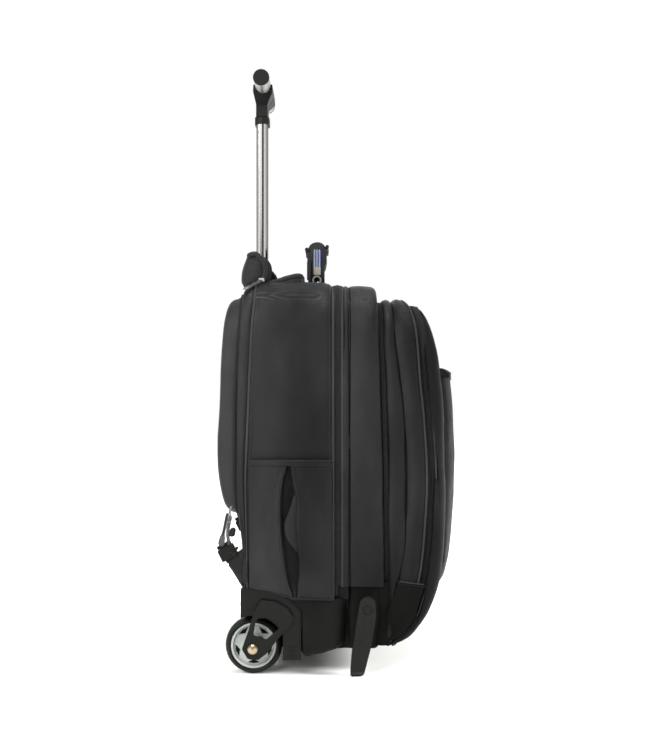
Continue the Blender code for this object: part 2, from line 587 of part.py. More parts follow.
def wheel_corner(name, side):
    wheel_y, wheel_z = WHEEL_CENTRE

    def span(a, b):
        return sorted((side * a, side * b))

    axle_hole = turned(f"axle_hole_{name}", [(AXLE_R + GAP, -0.04), (AXLE_R + GAP, 0.04), (0, 0.04)][::-1]
                       + [(0, -0.04)], (side * 0.15, wheel_y, wheel_z), steps=20)

    housing = prism(f"wheel_housing_{name}", housing_outline(), "yz", *span(HOUSING_IN + 0.004, HOUSING_OUT),
                    PLASTIC)
    store = rounded([(HOUSING_FRONT + 0.003, 0.0560), (0.0600, 0.0560), (0.0720, 0.0720), (0.0900, 0.0800),
                     (0.1175, 0.0780), (0.1175, 0.1060), (0.0900, 0.1060), (0.0660, 0.0970),
                     (HOUSING_FRONT + 0.003, 0.0790)], 0.002)
    cheek = rounded([(0.0880, 0.0840), (0.0960, 0.0250), (0.1140, 0.0250), (0.1195, 0.0840)],
                    [0, 0.009, 0.009, 0])
    boss = turned(f"boss_{name}", [(0, 0), (0.008, 0), (0.008, 0.006), (0, 0.006)][::-1],
                  (side * (HOUSING_IN + 0.0055), wheel_y, wheel_z), steps=20)
    boss.location.x = min(side * (HOUSING_IN + 0.0030), side * (HOUSING_IN + 0.0090))
    cut(housing, prism(f"housing_store_{name}", store, "yz", *span(HOUSING_IN - 0.01, HOUSING_OUT - 0.003)))
    join(housing, prism(f"cheek_{name}", cheek, "yz", *span(HOUSING_IN, HOUSING_IN + 0.0045)), boss)
    cut(housing, axle_hole)

    shield = rounded([(0.0947, 0.0974), (0.0770, 0.0955), (0.0615, 0.0870), (0.0536, 0.0756),
                      (0.0562, 0.0683), (0.0718, 0.0507), (0.0880, 0.0300), (0.0980, 0.0225),
                      (0.1110, 0.0235), (0.1185, 0.0360), (0.1100, 0.0600), (0.1051, 0.0777),
                      (0.0979, 0.0922)], 0.004, steps=3)
    window = rounded([(0.0979, 0.0746), (0.0843, 0.0746), (0.0730, 0.0675), (0.0725, 0.0610),
                      (0.0885, 0.0470), (0.0960, 0.0510), (0.1045, 0.0520), (0.1015, 0.0690)], 0.003, steps=2)
    bracket = prism(f"wheel_bracket_{name}", [shield, window], "yz",
                    *span(HOUSING_OUT + GAP, HOUSING_OUT + 0.0065), PLASTIC)
    hub = turned(f"hub_{name}", [(0, 0), (0.0085, 0), (0.0085, 0.0145), (0, 0.0145)][::-1],
                 (min(side * 0.1585, side * 0.1730), wheel_y, wheel_z), steps=24)
    join(bracket, hub)
    cut(bracket, axle_hole)

    head, tail = HOUSING_OUT + 0.0068, HOUSING_IN - 0.0055
    profile = [(0, tail), (0.0065, tail), (0.0065, HOUSING_IN - GAP), (AXLE_R, HOUSING_IN - GAP),
               (AXLE_R, head), (0.0066, head), (0.0062, head + 0.0015), (0.0045, head + 0.0033),
               (0, head + 0.0040)]
    turned(f"axle_{name}", [(r, side * x) for r, x in profile][::(-1 if side > 0 else 1)],
           (0, wheel_y, wheel_z), NICKEL, steps=24)
    wheel(name, side)


def wheel(name, side):
    wheel_y, wheel_z = WHEEL_CENTRE
    centre = (side * WHEEL_X, wheel_y, wheel_z)
    half = WHEEL_W / 2
    tyre = turned(f"tyre_{name}",
                  [(RIM_R + GAP, half - 0.001), (0.0315, half), (0.0345, half - 0.003), (WHEEL_R, half - 0.008),
                   (WHEEL_R, 0.008 - half), (0.0345, 0.003 - half), (0.0315, -half), (RIM_R + GAP, 0.001 - half)],
                  centre, TYRE, steps=40)
    face = side * (half - 0.006)
    low, high = sorted((face - side * 0.004, face))
    rim = turned(f"rim_{name}",
                 [(RIM_R, half - 0.0015), (RIM_R, 0.0015 - half), (0.0260, 0.0015 - half), (0.0245, low),
                  (0.0150, low), (0.0150, 0.001 - half), (BEARING_R + GAP, 0.001 - half),
                  (BEARING_R + GAP, half - 0.001), (0.0150, half - 0.001), (0.0150, high), (0.0245, high),
                  (0.0260, half - 0.0015)], centre, RIM, steps=40)
    windows = []
    for k in range(5):
        angle = math.tau * k / 5 - math.pi / 2
        corners = [(0.0235, -0.20), (0.0238, 0.0), (0.0235, 0.20), (0.0180, 0.0)]
        windows.append([(wheel_y + r * math.cos(angle + a * 1.7), wheel_z + r * math.sin(angle + a * 1.7))
                        for r, a in corners])
    cut(rim, prism(f"rim_windows_{name}", windows, "yz", *sorted((side * 0.12, side * 0.17))))
    bearing = turned(f"bearing_{name}",
                     [(BEARING_R, 0.0105), (BEARING_R, -0.0105), (AXLE_R + GAP, -0.0105),
                      (AXLE_R + GAP, 0.0105)], centre, STEEL, steps=32)
    moving(f"wheel_{name}", centre, [tyre, rim, bearing])


def feet():
    """A slanting leg screwed to each side of the front base."""
    for name, side in SIDES.items():
        low, high = sorted((side * (0.160 + GAP), side * 0.178))
        leg = prism(f"foot_{name}",
                    rounded([(-0.0485, 0.1005), (-0.0300, 0.1005), (-0.0235, 0.0620), (-0.0190, 0.0300),
                             (-0.0165, 0.0), (-0.0330, 0.0), (-0.0440, 0.0430), (-0.0490, 0.0760)],
                            [0.009, 0.009, 0.02, 0.02, 0.004, 0.006, 0.03, 0.03]), "yz", low, high, PLASTIC)
        chamfer = prism(f"foot_chamfer_{name}",
                        [(side * 0.1685, -0.001), (side * 0.1800, -0.001), (side * 0.1800, 0.0090)],
                        "xz", -0.1, 0.2)
        recess = turned(f"foot_recess_{name}", [(0, 0.003), (0.0055, 0.003), (0.0055, -0.003), (0, -0.003)],
                        (side * 0.178, -0.0384, 0.0845), steps=20)
        cut(leg, chamfer, recess)
        turned(f"foot_screw_{name}", [(0, 0.0012), (0.0040, 0.0012), (0.0050, 0.0), (0.0050, -0.0012),
                                      (0, -0.0012)], (side * 0.1765, -0.0384, 0.0845), PLASTIC, steps=20)


# ---------------------------------------------------------------- telescoping handle
def tube(name, size, wall, low, high, finish):
    hole = (size[0] - 2 * wall, size[1] - 2 * wall)
    return prism(name, [stadium(*size), stadium(*hole)], "xy", low, high, finish, (0, POLE_Y, 0))


def telescoping_handle():
    tube("handle_outer_tube", POLE_OUTER, 0.0022, 0.0400, WELL_FLOOR - GAP, STEEL)
    anchor = prism("handle_anchor", rounded([(-0.034, 0.0885), (0.034, 0.0885), (0.034, 0.1145),
                                             (-0.034, 0.1145)], 0.004), "xy", BASE_LOW + WALL + GAP, 0.0600,
                   PLASTIC)
    cut(anchor, prism("anchor_pocket", stadium(POLE_OUTER[0] + 2 * GAP, POLE_OUTER[1] + 2 * GAP), "xy",
                      0.0400 - GAP, 0.07, location=(0, POLE_Y, 0)))
    floor = WELL_FLOOR + 0.003 + GAP
    prism("handle_socket",
          [stadium(0.060, 0.0240), stadium(POLE_MIDDLE[0] + 0.0012, POLE_MIDDLE[1] + 0.0012)],
          "xy", floor, floor + 0.0035, PLASTIC, (0, POLE_Y, 0))

    middle = tube("handle_middle_tube", POLE_MIDDLE, TUBE_WALL, 0.3700, POLE_TOP, STEEL)
    collar = prism("handle_middle_collar",
                   [stadium(0.042, 0.020), stadium(POLE_INNER[0] + 2 * GAP, POLE_INNER[1] + 2 * GAP)], "xy",
                   POLE_TOP - 0.0060, POLE_TOP + 0.0035, PLASTIC, (0, POLE_Y, 0))
    cut(collar, prism("collar_seat", stadium(POLE_MIDDLE[0] + 2 * GAP, POLE_MIDDLE[1] + 2 * GAP), "xy",
                      POLE_TOP - 0.02, POLE_TOP + GAP, location=(0, POLE_Y, 0)))
    moving("handle_lower", (0, POLE_Y, POLE_TOP), [middle, collar])

    inner = tube("handle_inner_tube", POLE_INNER, TUBE_WALL, 0.4300, 0.7480, STEEL)
    bar_y, bar_z = BAR_CENTRE
    yoke = moulded("handle_yoke",
                   rounded([(POLE_Y - 0.0080, POLE_TOP + 0.0038), (POLE_Y + 0.0080, POLE_TOP + 0.0038),
                            (POLE_Y + 0.0078, 0.7475), (bar_y + 0.0133, 0.7600), (bar_y + 0.0128, bar_z + 0.001),
                            (bar_y - 0.0128, bar_z + 0.001), (bar_y - 0.0133, 0.7600), (POLE_Y - 0.0078, 0.7475)],
                           [0, 0, 0.006, 0.006, 0.001, 0.001, 0.006, 0.006]),
                   rounded([(-0.0210, POLE_TOP), (0.0210, POLE_TOP), (0.0215, 0.7450), (0.0470, 0.7600),
                            (0.0470, 0.7720), (-0.0470, 0.7720), (-0.0470, 0.7600), (-0.0215, 0.7450)],
                           [0, 0, 0.01, 0.003, 0, 0, 0.003, 0.01]), 0.047, PLASTIC)
    cut(yoke,
        turned("bar_seat", [(0, 0.1), (BAR_R + GAP, 0.1), (BAR_R + GAP, -0.1), (0, -0.1)],
               (0, bar_y, bar_z), steps=32),
        prism("inner_tube_seat", stadium(POLE_INNER[0] + 2 * GAP, POLE_INNER[1] + 2 * GAP), "xy",
              0.70, 0.7480 + GAP, location=(0, POLE_Y, 0)))

    bar = turned("grip_bar", [(BAR_R, BAR_HALF), (BAR_R, -BAR_HALF), (BAR_R - 0.0015, -BAR_HALF),
                              (BAR_R - 0.0015, BAR_HALF)], (0, bar_y, bar_z), SATIN, steps=36)
    cut(bar, box("button_hole", (-0.0125, bar_y - 0.0055, bar_z), (0.0125, bar_y + 0.0055, bar_z + 0.02)))
    caps = []
    for name, side in SIDES.items():
        start = BAR_HALF + GAP
        profile = [(0, BAR_HALF - 0.008), (BAR_R - 0.0015 - GAP, BAR_HALF - 0.008), (BAR_R - 0.0015 - GAP, start),
                   (BAR_R + 0.0003, start), (BAR_R + 0.0003, start + 0.002), (BAR_R - 0.0008, start + 0.003),
                   (0, start + 0.003)]
        caps.append(turned(f"grip_cap_{name}", [(r, side * x) for r, x in profile][::(-1 if side > 0 else 1)],
                           (0, bar_y, bar_z), PLASTIC, steps=32))
    moving("handle_upper", (0, POLE_Y, bar_z), [inner, yoke, bar, *caps])

    button = moulded("release_button",
                     rounded([(bar_y - 0.0050, bar_z + 0.0040), (bar_y + 0.0050, bar_z + 0.0040),
                              (bar_y + 0.0050, bar_z + BAR_R + 0.0025), (bar_y - 0.0050, bar_z + BAR_R + 0.0025)],
                             [0, 0, 0.0015, 0.0015]),
                     rounded([(-0.0120, bar_z), (0.0120, bar_z), (0.0120, bar_z + BAR_R + 0.0025),
                              (-0.0120, bar_z + BAR_R + 0.0025)], [0, 0, 0.0015, 0.0015]), 0.012, PLASTIC)
    moving("release_button", (0, bar_y, bar_z + BAR_R), [button])


# ---------------------------------------------------------------- the case
main_half()
zip_tape("main_zip_tape_rear", ZIP_MIDDLE + 0.0002, CASE_FRONT - GAP, CASE_HALF_W, CASE_TOP)
inside_pieces()
back_panel()
front_base()
front_half()
side_pockets()
handle_garage()
carry_handle()
strap_ends()
for corner, corner_side in SIDES.items():
    wheel_corner(corner, corner_side)
feet()
telescoping_handle()
bpy.context.view_layer.update()
for piece in PARTS.objects:
    if piece.type == "MESH":
        smoothed(piece)
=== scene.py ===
import math

import bmesh
import bpy
from mathutils import Matrix, Vector, noise


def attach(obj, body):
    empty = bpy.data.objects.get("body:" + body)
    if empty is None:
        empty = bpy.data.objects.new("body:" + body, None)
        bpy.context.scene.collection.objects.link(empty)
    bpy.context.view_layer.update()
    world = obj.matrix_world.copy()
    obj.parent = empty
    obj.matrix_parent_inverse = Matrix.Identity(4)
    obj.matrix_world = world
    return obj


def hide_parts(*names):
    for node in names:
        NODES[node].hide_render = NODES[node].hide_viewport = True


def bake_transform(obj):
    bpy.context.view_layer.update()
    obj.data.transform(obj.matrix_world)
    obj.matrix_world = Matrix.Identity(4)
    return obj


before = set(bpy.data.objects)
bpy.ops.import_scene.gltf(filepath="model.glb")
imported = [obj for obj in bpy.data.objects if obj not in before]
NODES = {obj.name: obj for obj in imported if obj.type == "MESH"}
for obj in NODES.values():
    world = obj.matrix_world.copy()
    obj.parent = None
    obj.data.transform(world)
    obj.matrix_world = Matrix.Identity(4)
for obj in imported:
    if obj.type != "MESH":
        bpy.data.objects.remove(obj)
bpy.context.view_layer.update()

SIDES = {"left": -1, "right": 1}
ZIP_HALVES = {"a": 1, "b": -1}


# ---------------------------------------------------------------- materials
class Finish:
    """A node material, built with short calls."""

    def __init__(self, name, colour, roughness, metallic=0.0):
        self.material = bpy.data.materials.new(name)
        self.material.use_nodes = True
        self.tree = self.material.node_tree
        self.shader = self.tree.nodes["Principled BSDF"]
        self.shader.inputs["Base Color"].default_value = (*colour, 1.0)
        self.shader.inputs["Roughness"].default_value = roughness
        self.shader.inputs["Metallic"].default_value = metallic
        self.place = self.node("ShaderNodeTexCoord")

    def node(self, kind, inputs=None, **settings):
        made = self.tree.nodes.new(kind)
        for key, value in settings.items():
            setattr(made, key, value)
        for key, value in (inputs or {}).items():
            if isinstance(value, bpy.types.NodeSocket):
                self.tree.links.new(value, made.inputs[key])
            else:
                made.inputs[key].default_value = value
        return made

    def maths(self, operation, a, b=0.0):
        return self.node("ShaderNodeMath", {0: a, 1: b}, operation=operation).outputs[0]

    def noise(self, scale, detail=3.0, stretch=(1, 1, 1), rough=0.5):
        """Noise with scale features per metre, longer along an axis whose stretch is under 1."""
        mapped = self.node("ShaderNodeMapping", {"Vector": self.place.outputs["Object"], "Scale": stretch})
        made = self.node("ShaderNodeTexNoise", {"Vector": mapped.outputs[0], "Scale": scale, "Detail": detail,
                                                "Roughness": rough})
        return made.outputs["Fac"]

    def spread(self, value, low, high, from_low=0.3, from_high=0.7):
        made = self.node("ShaderNodeMapRange", {"Value": value, "From Min": from_low, "From Max": from_high,
                                                "To Min": low, "To Max": high})
        return made.outputs[0]

    def blend_colours(self, value, a, b, stops=(0.35, 0.65)):
        ramp = self.node("ShaderNodeValToRGB", {"Fac": value})
        ramp.color_ramp.elements[0].position, ramp.color_ramp.elements[1].position = stops
        ramp.color_ramp.elements[0].color = (*a, 1.0)
        ramp.color_ramp.elements[1].color = (*b, 1.0)
        self.tree.links.new(ramp.outputs["Color"], self.shader.inputs["Base Color"])

    def roughness(self, value):
        self.tree.links.new(value, self.shader.inputs["Roughness"])

    def weave(self, pitch):
        """A plain weave's height, laid on whichever two axes the surface faces."""
        split = self.node("ShaderNodeSeparateXYZ", {0: self.place.outputs["Object"]})
        facing = self.node("ShaderNodeSeparateXYZ", {0: self.place.outputs["Normal"]})
        waves = [self.maths("SINE", self.maths("MULTIPLY", out, math.tau / pitch)) for out in split.outputs]
        weights = [self.maths("ABSOLUTE", out) for out in facing.outputs]
        total = None
        for axis in range(3):
            pattern = self.maths("MULTIPLY", waves[(axis + 1) % 3], waves[(axis + 2) % 3])
            part = self.maths("MULTIPLY", pattern, weights[axis])
            total = part if total is None else self.maths("ADD", total, part)
        return total

    def bump(self, height, distance, strength=1.0):
        made = self.node("ShaderNodeBump", {"Height": height, "Distance": distance, "Strength": strength})
        before = self.shader.inputs["Normal"].links
        if before:
            self.tree.links.new(before[0].from_socket, made.inputs["Normal"])
        self.tree.links.new(made.outputs[0], self.shader.inputs["Normal"])

    def set(self, **values):
        for key, value in values.items():
            self.shader.inputs[key.replace("_", " ")].default_value = value
        return self.material


def scaled(colour, factor):
    return tuple(c * factor for c in colour)


def cloth(name, colour, roughness=0.55, pitch=0.0009, depth=0.00012, sheen=0.25, variation=0.18,
          gloss=0.13):
    """Woven cloth: a fine weave, soft puckers, cloudy colour and a faint sheen."""
    made = Finish(name, colour, roughness)
    clouds = made.noise(14.0, 4.0)
    made.blend_colours(clouds, scaled(colour, 1 - variation), scaled(colour, 1 + variation), (0.3, 0.7))
    made.roughness(made.spread(made.noise(60.0, 3.0), roughness - 0.05, roughness + 0.07))
    made.bump(made.noise(16.0, 3.0, (1.0, 1.0, 0.5)), 0.0035, 0.35)
    made.bump(made.noise(45.0, 4.0, (1.0, 1.0, 0.35)), 0.0006, 0.3)
    made.bump(made.weave(pitch), depth, 0.5)
    calendered = made.spread(made.noise(8.0, 3.0, (1.0, 1.0, 0.4)), gloss * 0.35, gloss * 2.3)
    made.tree.links.new(calendered, made.shader.inputs["Specular IOR Level"])
    return made.set(Sheen_Weight=sheen, Sheen_Roughness=0.45, Sheen_Tint=(0.75, 0.77, 0.8, 1.0))


def plastic(name, colour, roughness=0.45, grain=900.0, depth=0.00006, variation=0.1, gloss=0.09):
    """Moulded plastic: fine spark grain, slightly rubbed."""
    made = Finish(name, colour, roughness)
    made.blend_colours(made.noise(25.0, 4.0), scaled(colour, 1 - variation), scaled(colour, 1 + variation),
                       (0.3, 0.7))
    made.roughness(made.spread(made.noise(40.0, 4.0), roughness - 0.07, roughness + 0.08))
    edges = made.node("ShaderNodeBevel", {"Radius": 0.0014}, samples=6)
    made.tree.links.new(edges.outputs[0], made.shader.inputs["Normal"])
    made.bump(made.noise(grain, 2.0), depth, 0.4)
    return made.set(Specular_IOR_Level=gloss)


def metal(name, colour, roughness, streaks=(1, 1, 1), scale=300.0, depth=0.00002):
    made = Finish(name, colour, roughness, 1.0)
    made.roughness(made.spread(made.noise(scale, 3.0, streaks), max(roughness - 0.05, 0.03), roughness + 0.06))
    made.bump(made.noise(scale * 2, 2.0, streaks), depth, 0.3)
    return made.material


NYLON = cloth("shell_cloth", (0.0032, 0.0033, 0.0037), 0.38, sheen=0.02, gloss=0.12)
PANEL_NYLON = cloth("front_cloth", (0.0034, 0.0035, 0.0035), 0.5, sheen=0.01,
                    gloss=0.06)
BASE_NYLON = cloth("base_cloth", (0.003, 0.0029, 0.0027), 0.5, pitch=0.0015, depth=0.0002, sheen=0.01,
                   gloss=0.05)
LINING = cloth("lining", (0.0018, 0.0018, 0.002), 0.75, sheen=0.0)
PADDING = cloth("padded_cloth", (0.0068, 0.0071, 0.0076), 0.5, pitch=0.0016, depth=0.00025, sheen=0.05)
TAPE = cloth("zip_tape", (0.0045, 0.0045, 0.0048), 0.6, pitch=0.0008, sheen=0.01)
PIPING = cloth("piping", (0.014, 0.0142, 0.0146), 0.42, pitch=0.0008, sheen=0.05)
WEBBING = cloth("webbing", (0.005, 0.005, 0.0052), 0.6, pitch=0.0018, depth=0.0004, sheen=0.02)
COIL = plastic("zip_coil", (0.015, 0.015, 0.0156), 0.35)
THREAD = cloth("thread", (0.013, 0.013, 0.0132), 0.6, pitch=0.0004, sheen=0.03)
PLASTIC = plastic("moulded_plastic", (0.0044, 0.0048, 0.0042), 0.32)
DARK_PLASTIC = plastic("dark_plastic", (0.0055, 0.0057, 0.0055), 0.42)
FOOT_PLASTIC = plastic("foot_plastic", (0.0056, 0.0062, 0.0053), 0.38)
TYRE = plastic("tyre_rubber", (0.0075, 0.0079, 0.0075), 0.36, grain=500.0, depth=0.0001)
RIM = plastic("silver_plastic", (0.27, 0.289, 0.274), 0.28, grain=700.0, depth=0.00002, variation=0.04,
              gloss=0.3)


def painted_reflection_steel(name):
    """Polished drawn tube whose base colour is a painted reflection: its narrow sides are painted bright, with a dark
    painted streak down the middle, and it is painted darker as it turns to its broad faces."""
    made = Finish(name, (0.6, 0.58, 0.56), 0.16, 1.0)
    facing = made.node("ShaderNodeSeparateXYZ", {0: made.place.outputs["Normal"]})
    ramp = made.node("ShaderNodeValToRGB", {"Fac": made.maths("ABSOLUTE", facing.outputs[1])})
    # Painted reflection, picked by |normal y|: dark where the tube faces x, bright between, dark again on the broad
    # faces.
    stops = [(0.0, (0.04, 0.037, 0.036)), (0.19, (0.07, 0.066, 0.063)), (0.27, (0.66, 0.64, 0.62)),
             (0.62, (0.74, 0.72, 0.7)), (0.74, (0.28, 0.26, 0.245)), (0.86, (0.06, 0.055, 0.052)),
             (1.0, (0.14, 0.13, 0.125))]
    while len(ramp.color_ramp.elements) < len(stops):
        ramp.color_ramp.elements.new(0.5)
    for element, (place, _) in zip(ramp.color_ramp.elements, stops):
        element.position = place
    for element, (_, colour) in zip(ramp.color_ramp.elements, stops):
        element.color = (*colour, 1.0)
    made.tree.links.new(ramp.outputs["Color"], made.shader.inputs["Base Color"])
    made.roughness(made.spread(made.noise(300.0, 3.0, (60, 60, 1)), 0.12, 0.22))
    made.bump(made.noise(600.0, 2.0, (60, 60, 1)), 0.00002, 0.3)
    return made.material


STEEL = painted_reflection_steel("polished_steel")
SATIN = metal("satin_aluminium", (0.36, 0.35, 0.34), 0.38, (1, 60, 60))
TUBE_STEEL = metal("tube_steel", (0.5, 0.5, 0.5), 0.35, (60, 60, 1))
BRONZE = metal("nickel", (0.3, 0.24, 0.16), 0.18)
RING_METAL = metal("ring_metal", (0.16, 0.16, 0.16), 0.3)
CHROME = metal("puller_metal", (0.5, 0.49, 0.46), 0.22)
LABEL = cloth("beige_patch", (0.13, 0.12, 0.09), 0.7, sheen=0.05)
BLUE_GREY = cloth("handle_lining", (0.036, 0.044, 0.1), 0.5, sheen=0.05)
GREY_WEB = cloth("grey_webbing", (0.04, 0.04, 0.04), 0.5, pitch=0.0014, depth=0.0003, sheen=0.03)
STRIPE = cloth("handle_stripe", (0.14, 0.16, 0.21), 0.5, sheen=0.05)
SCREW = metal("black_screw", (0.012, 0.012, 0.012), 0.14)


# ---------------------------------------------------------------- mesh tools
def link(obj):
    """Puts an object in the scene, if it isn't there yet."""
    if obj.name not in bpy.context.scene.collection.objects:
        bpy.context.scene.collection.objects.link(obj)


def finished(obj, material, body, smooth=35):
    """Gives a new piece its finish, and makes it ride on its body."""
    link(obj)
    obj.data.materials.clear()
    for one in material if isinstance(material, list) else [material]:
        obj.data.materials.append(one)
    if smooth:
        obj.data.shade_smooth()
        obj.data.set_sharp_from_angle(angle=math.radians(smooth))
    if body:
        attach(obj, body)
    return obj


def mesh_object(name, points, faces):
    mesh = bpy.data.meshes.new(name)
    mesh.from_pydata([tuple(p) for p in points], [], faces)
    mesh.validate()
    return bpy.data.objects.new(name, mesh)


def grid_faces(rows, count, round_rows=False, looped=False):
    """Four-sided faces between rows of count points; a row, or the whole set, may close on itself."""
    return [(r * count + c, r * count + (c + 1) % count, (r + 1) % rows * count + (c + 1) % count,
             (r + 1) % rows * count + c)
            for r in range(rows if looped else rows - 1) for c in range(count if round_rows else count - 1)]


def surface(name, rows, round_rows=False, more_faces=()):
    """A mesh through rows that each hold the same count of points."""
    faces = grid_faces(len(rows), len(rows[0]), round_rows) + list(more_faces)
    return mesh_object(name, [p for row in rows for p in row], faces)


def from_bmesh(name, shape):
    mesh = bpy.data.meshes.new(name)
    shape.to_mesh(mesh)
    shape.free()
    return bpy.data.objects.new(name, mesh)


def tidy_mesh(obj, merge=1e-5):
    shape = bmesh.new()
    shape.from_mesh(obj.data)
    bmesh.ops.remove_doubles(shape, verts=shape.verts, dist=merge)
    loose = [v for v in shape.verts if not v.link_faces]
    bmesh.ops.delete(shape, geom=loose, context="VERTS")
    bmesh.ops.recalc_face_normals(shape, faces=shape.faces)
    shape.to_mesh(obj.data)
    shape.free()
    return obj


def solidify(obj, wall, lined=True, offset=-1.0):
    """A surface's thickness; inside, a lined one takes its second material."""
    solid = obj.modifiers.new("wall", "SOLIDIFY")
    solid.thickness = wall
    solid.offset = offset
    if lined:
        solid.material_offset = 1
        solid.material_offset_rim = 0
    return obj


def freeze(obj):
    """Applies an object's modifiers."""
    link(obj)
    bpy.context.view_layer.update()
    graph = bpy.context.evaluated_depsgraph_get()
    mesh = bpy.data.meshes.new_from_object(obj.evaluated_get(graph))
    obj.modifiers.clear()
    obj.data = mesh
    return obj


def smooth_profile(points):
    """A smooth function y(z) through (z, y) pairs, with no overshoot."""
    points = sorted(points)
    zs = [p[0] for p in points]
    ys = [p[1] for p in points]
    slopes = [(ys[i + 1] - ys[i]) / (zs[i + 1] - zs[i]) for i in range(len(zs) - 1)]
    tangents = [slopes[0]]
    for a, b in zip(slopes, slopes[1:]):
        tangents.append(0.0 if a * b <= 0 else 2 * a * b / (a + b))
    tangents.append(slopes[-1])

    def at(z):
        z = min(max(z, zs[0]), zs[-1])
        i = max(k for k in range(len(zs) - 1) if zs[k] <= z or k == 0)
        width = zs[i + 1] - zs[i]
        t = (z - zs[i]) / width
        return ((1 + 2 * t) * (1 - t) ** 2 * ys[i] + t * (1 - t) ** 2 * width * tangents[i]
                + t * t * (3 - 2 * t) * ys[i + 1] + t * t * (t - 1) * width * tangents[i + 1])
    return at


class Arch:
    """The case's outline seen from the front: up the left side, over the top, down the right, and back along
    the foot if that is rounded too. Every inset of it has the same count of points."""

    CORNER_STEPS = 12

    def __init__(self, half, low, high, top_r, low_r=None, step=0.006):
        self.size = (half, low, high, top_r, low_r)
        self.closed = low_r is not None
        side = high - low - top_r - (low_r or 0)
        self.counts = (max(round(side / step), 2), max(round(2 * (half - top_r) / step), 2),
                       max(round(2 * (half - (low_r or 0)) / step), 2))

    def ring(self, inset=0.0):
        """Points (x, z, outward x, outward z)."""
        half, low, high, top_r, low_r = self.size
        half, high = half - inset, high - inset
        low += inset if self.closed else 0.0
        top_r = min(max(top_r - inset, 0.3 * top_r), half)
        low_r = min(max((low_r or 0) - inset, 0.3 * (low_r or 0)), half) if self.closed else 0.0
        if self.closed:
            # Near the middle the corners shrink with the room that is left, so that no ring crosses itself.
            top_r, low_r = min(top_r, (high - low) / 2), min(low_r, (high - low) / 2)
        side, top, foot = self.counts

        def corner(x, z, radius, start):
            angles = [start - math.pi / 2 * k / self.CORNER_STEPS for k in range(self.CORNER_STEPS)]
            return [(x + radius * math.cos(a), z + radius * math.sin(a), math.cos(a), math.sin(a)) for a in angles]

        points = [(-half, low + low_r + (high - top_r - low - low_r) * k / side, -1, 0) for k in range(side)]
        points += corner(top_r - half, high - top_r, top_r, math.pi)
        points += [(top_r - half + 2 * (half - top_r) * k / top, high, 0, 1) for k in range(top)]
        points += corner(half - top_r, high - top_r, top_r, math.pi / 2)
        points += [(half, high - top_r - (high - top_r - low - low_r) * k / side, 1, 0)
                   for k in range(side + (0 if self.closed else 1))]
        if self.closed:
            points += corner(half - low_r, low + low_r, low_r, 0.0)
            points += [(half - low_r - 2 * (half - low_r) * k / foot, low, 0, -1) for k in range(foot)]
            points += corner(low_r - half, low + low_r, low_r, -math.pi / 2)
        return points

    def path(self, depth, inset=0.0, low=None):
        """Points and outward normals round the arch at depth(z), optionally only above low."""
        return [(Vector((x, depth(z), z)), Vector((nx, 0, nz))) for x, z, nx, nz in self.ring(inset)
                if low is None or z >= low]


def shell(name, arch, rings, wall=0.003):
    """A moulded cloth shell. Each ring is (inset, depth(z)); the last may close on the middle line."""
    rows = [[(x, depth(z), z) for x, z, _, _ in arch.ring(inset)] for inset, depth in rings]
    return solidify(tidy_mesh(surface(name, rows, arch.closed)), wall)


def steps(a, b, count):
    return [a + (b - a) * (k / count) for k in range(count + 1)]


def quarter(count):
    """(1 - cosine, sine) at even steps of a quarter turn, without its start."""
    return [(1 - math.cos(a), math.sin(a)) for a in (math.pi / 2 * k / count for k in range(1, count + 1))]


def between(first, last, t):
    return lambda z: first(z) + (last(z) - first(z)) * t


def offset(profile, amount):
    return lambda z: profile(z) + amount


def moved(obj, change):
    """Moves each vertex by change(position)."""
    for vertex in obj.data.vertices:
        vertex.co += Vector(change(vertex.co.copy()))
    return obj


def wrinkled(obj, size, reach, seed=0.0, along=(1, 1, 1), mask=None):
    """Soft folds: each vertex moves along its normal by noise."""
    normals = [v.normal.copy() for v in obj.data.vertices]
    for vertex, normal in zip(obj.data.vertices, normals):
        p = Vector((vertex.co.x * along[0], vertex.co.y * along[1], vertex.co.z * along[2])) / reach
        p += Vector((seed, seed * 1.7, -seed))
        amount = (noise.noise(p) + 0.5 * noise.noise(p * 2.1) + 0.25 * noise.noise(p * 4.3)) * size
        vertex.co += normal * amount * (mask(vertex.co) if mask else 1.0)
    return obj


def resample(path, pitch, closed=False):
    """Evenly spaced (point, normal) along a path."""
    points = list(path) + ([path[0]] if closed else [])
    lengths = [0.0]
    for (a, _), (b, _) in zip(points, points[1:]):
        lengths.append(lengths[-1] + (b - a).length)
    count = max(int(lengths[-1] / pitch), 1)
    found = []
    i = 0
    for k in range(count + (0 if closed else 1)):
        want = lengths[-1] * k / count
        while i < len(lengths) - 2 and lengths[i + 1] < want:
            i += 1
        t = (want - lengths[i]) / max(lengths[i + 1] - lengths[i], 1e-9)
        found.append((points[i][0].lerp(points[i + 1][0], t),
                      points[i][1].lerp(points[i + 1][1], t).normalized()))
    return found


def frames(path, closed=False):
    """(point, along, across, out) at each point of a path."""
    count = len(path)
    found = []
    for k, (point, out) in enumerate(path):
        before = path[(k - 1) % count][0] if closed or k else point
        after = path[(k + 1) % count][0] if closed or k < count - 1 else point
        along = (after - before).normalized()
        across = along.cross(out).normalized()
        found.append((point, along, across, across.cross(along).normalized()))
    return found


def sweep(name, path, section, closed=False, sizes=None):
    """A closed section of (across, out) carried along a path."""
    points = []
    placed_at = frames(path, closed)
    for k, (point, _, across, out) in enumerate(placed_at):
        size = sizes(k / max(len(placed_at) - 1, 1)) if sizes else 1.0
        points += [point + across * (a * size) + out * (o * size) for a, o in section]
    n, rows = len(section), len(placed_at)
    faces = grid_faces(rows, n, True, closed)
    if not closed:
        faces += [tuple(range(n)), tuple(reversed(range((rows - 1) * n, rows * n)))]
    return tidy_mesh(mesh_object(name, points, faces), merge=1e-7)


def strip(name, path, section, finish, body, closed=False, sizes=None):
    """A finished piece with one section along a path."""
    return finished(sweep(name, path, section, closed, sizes), finish, body)


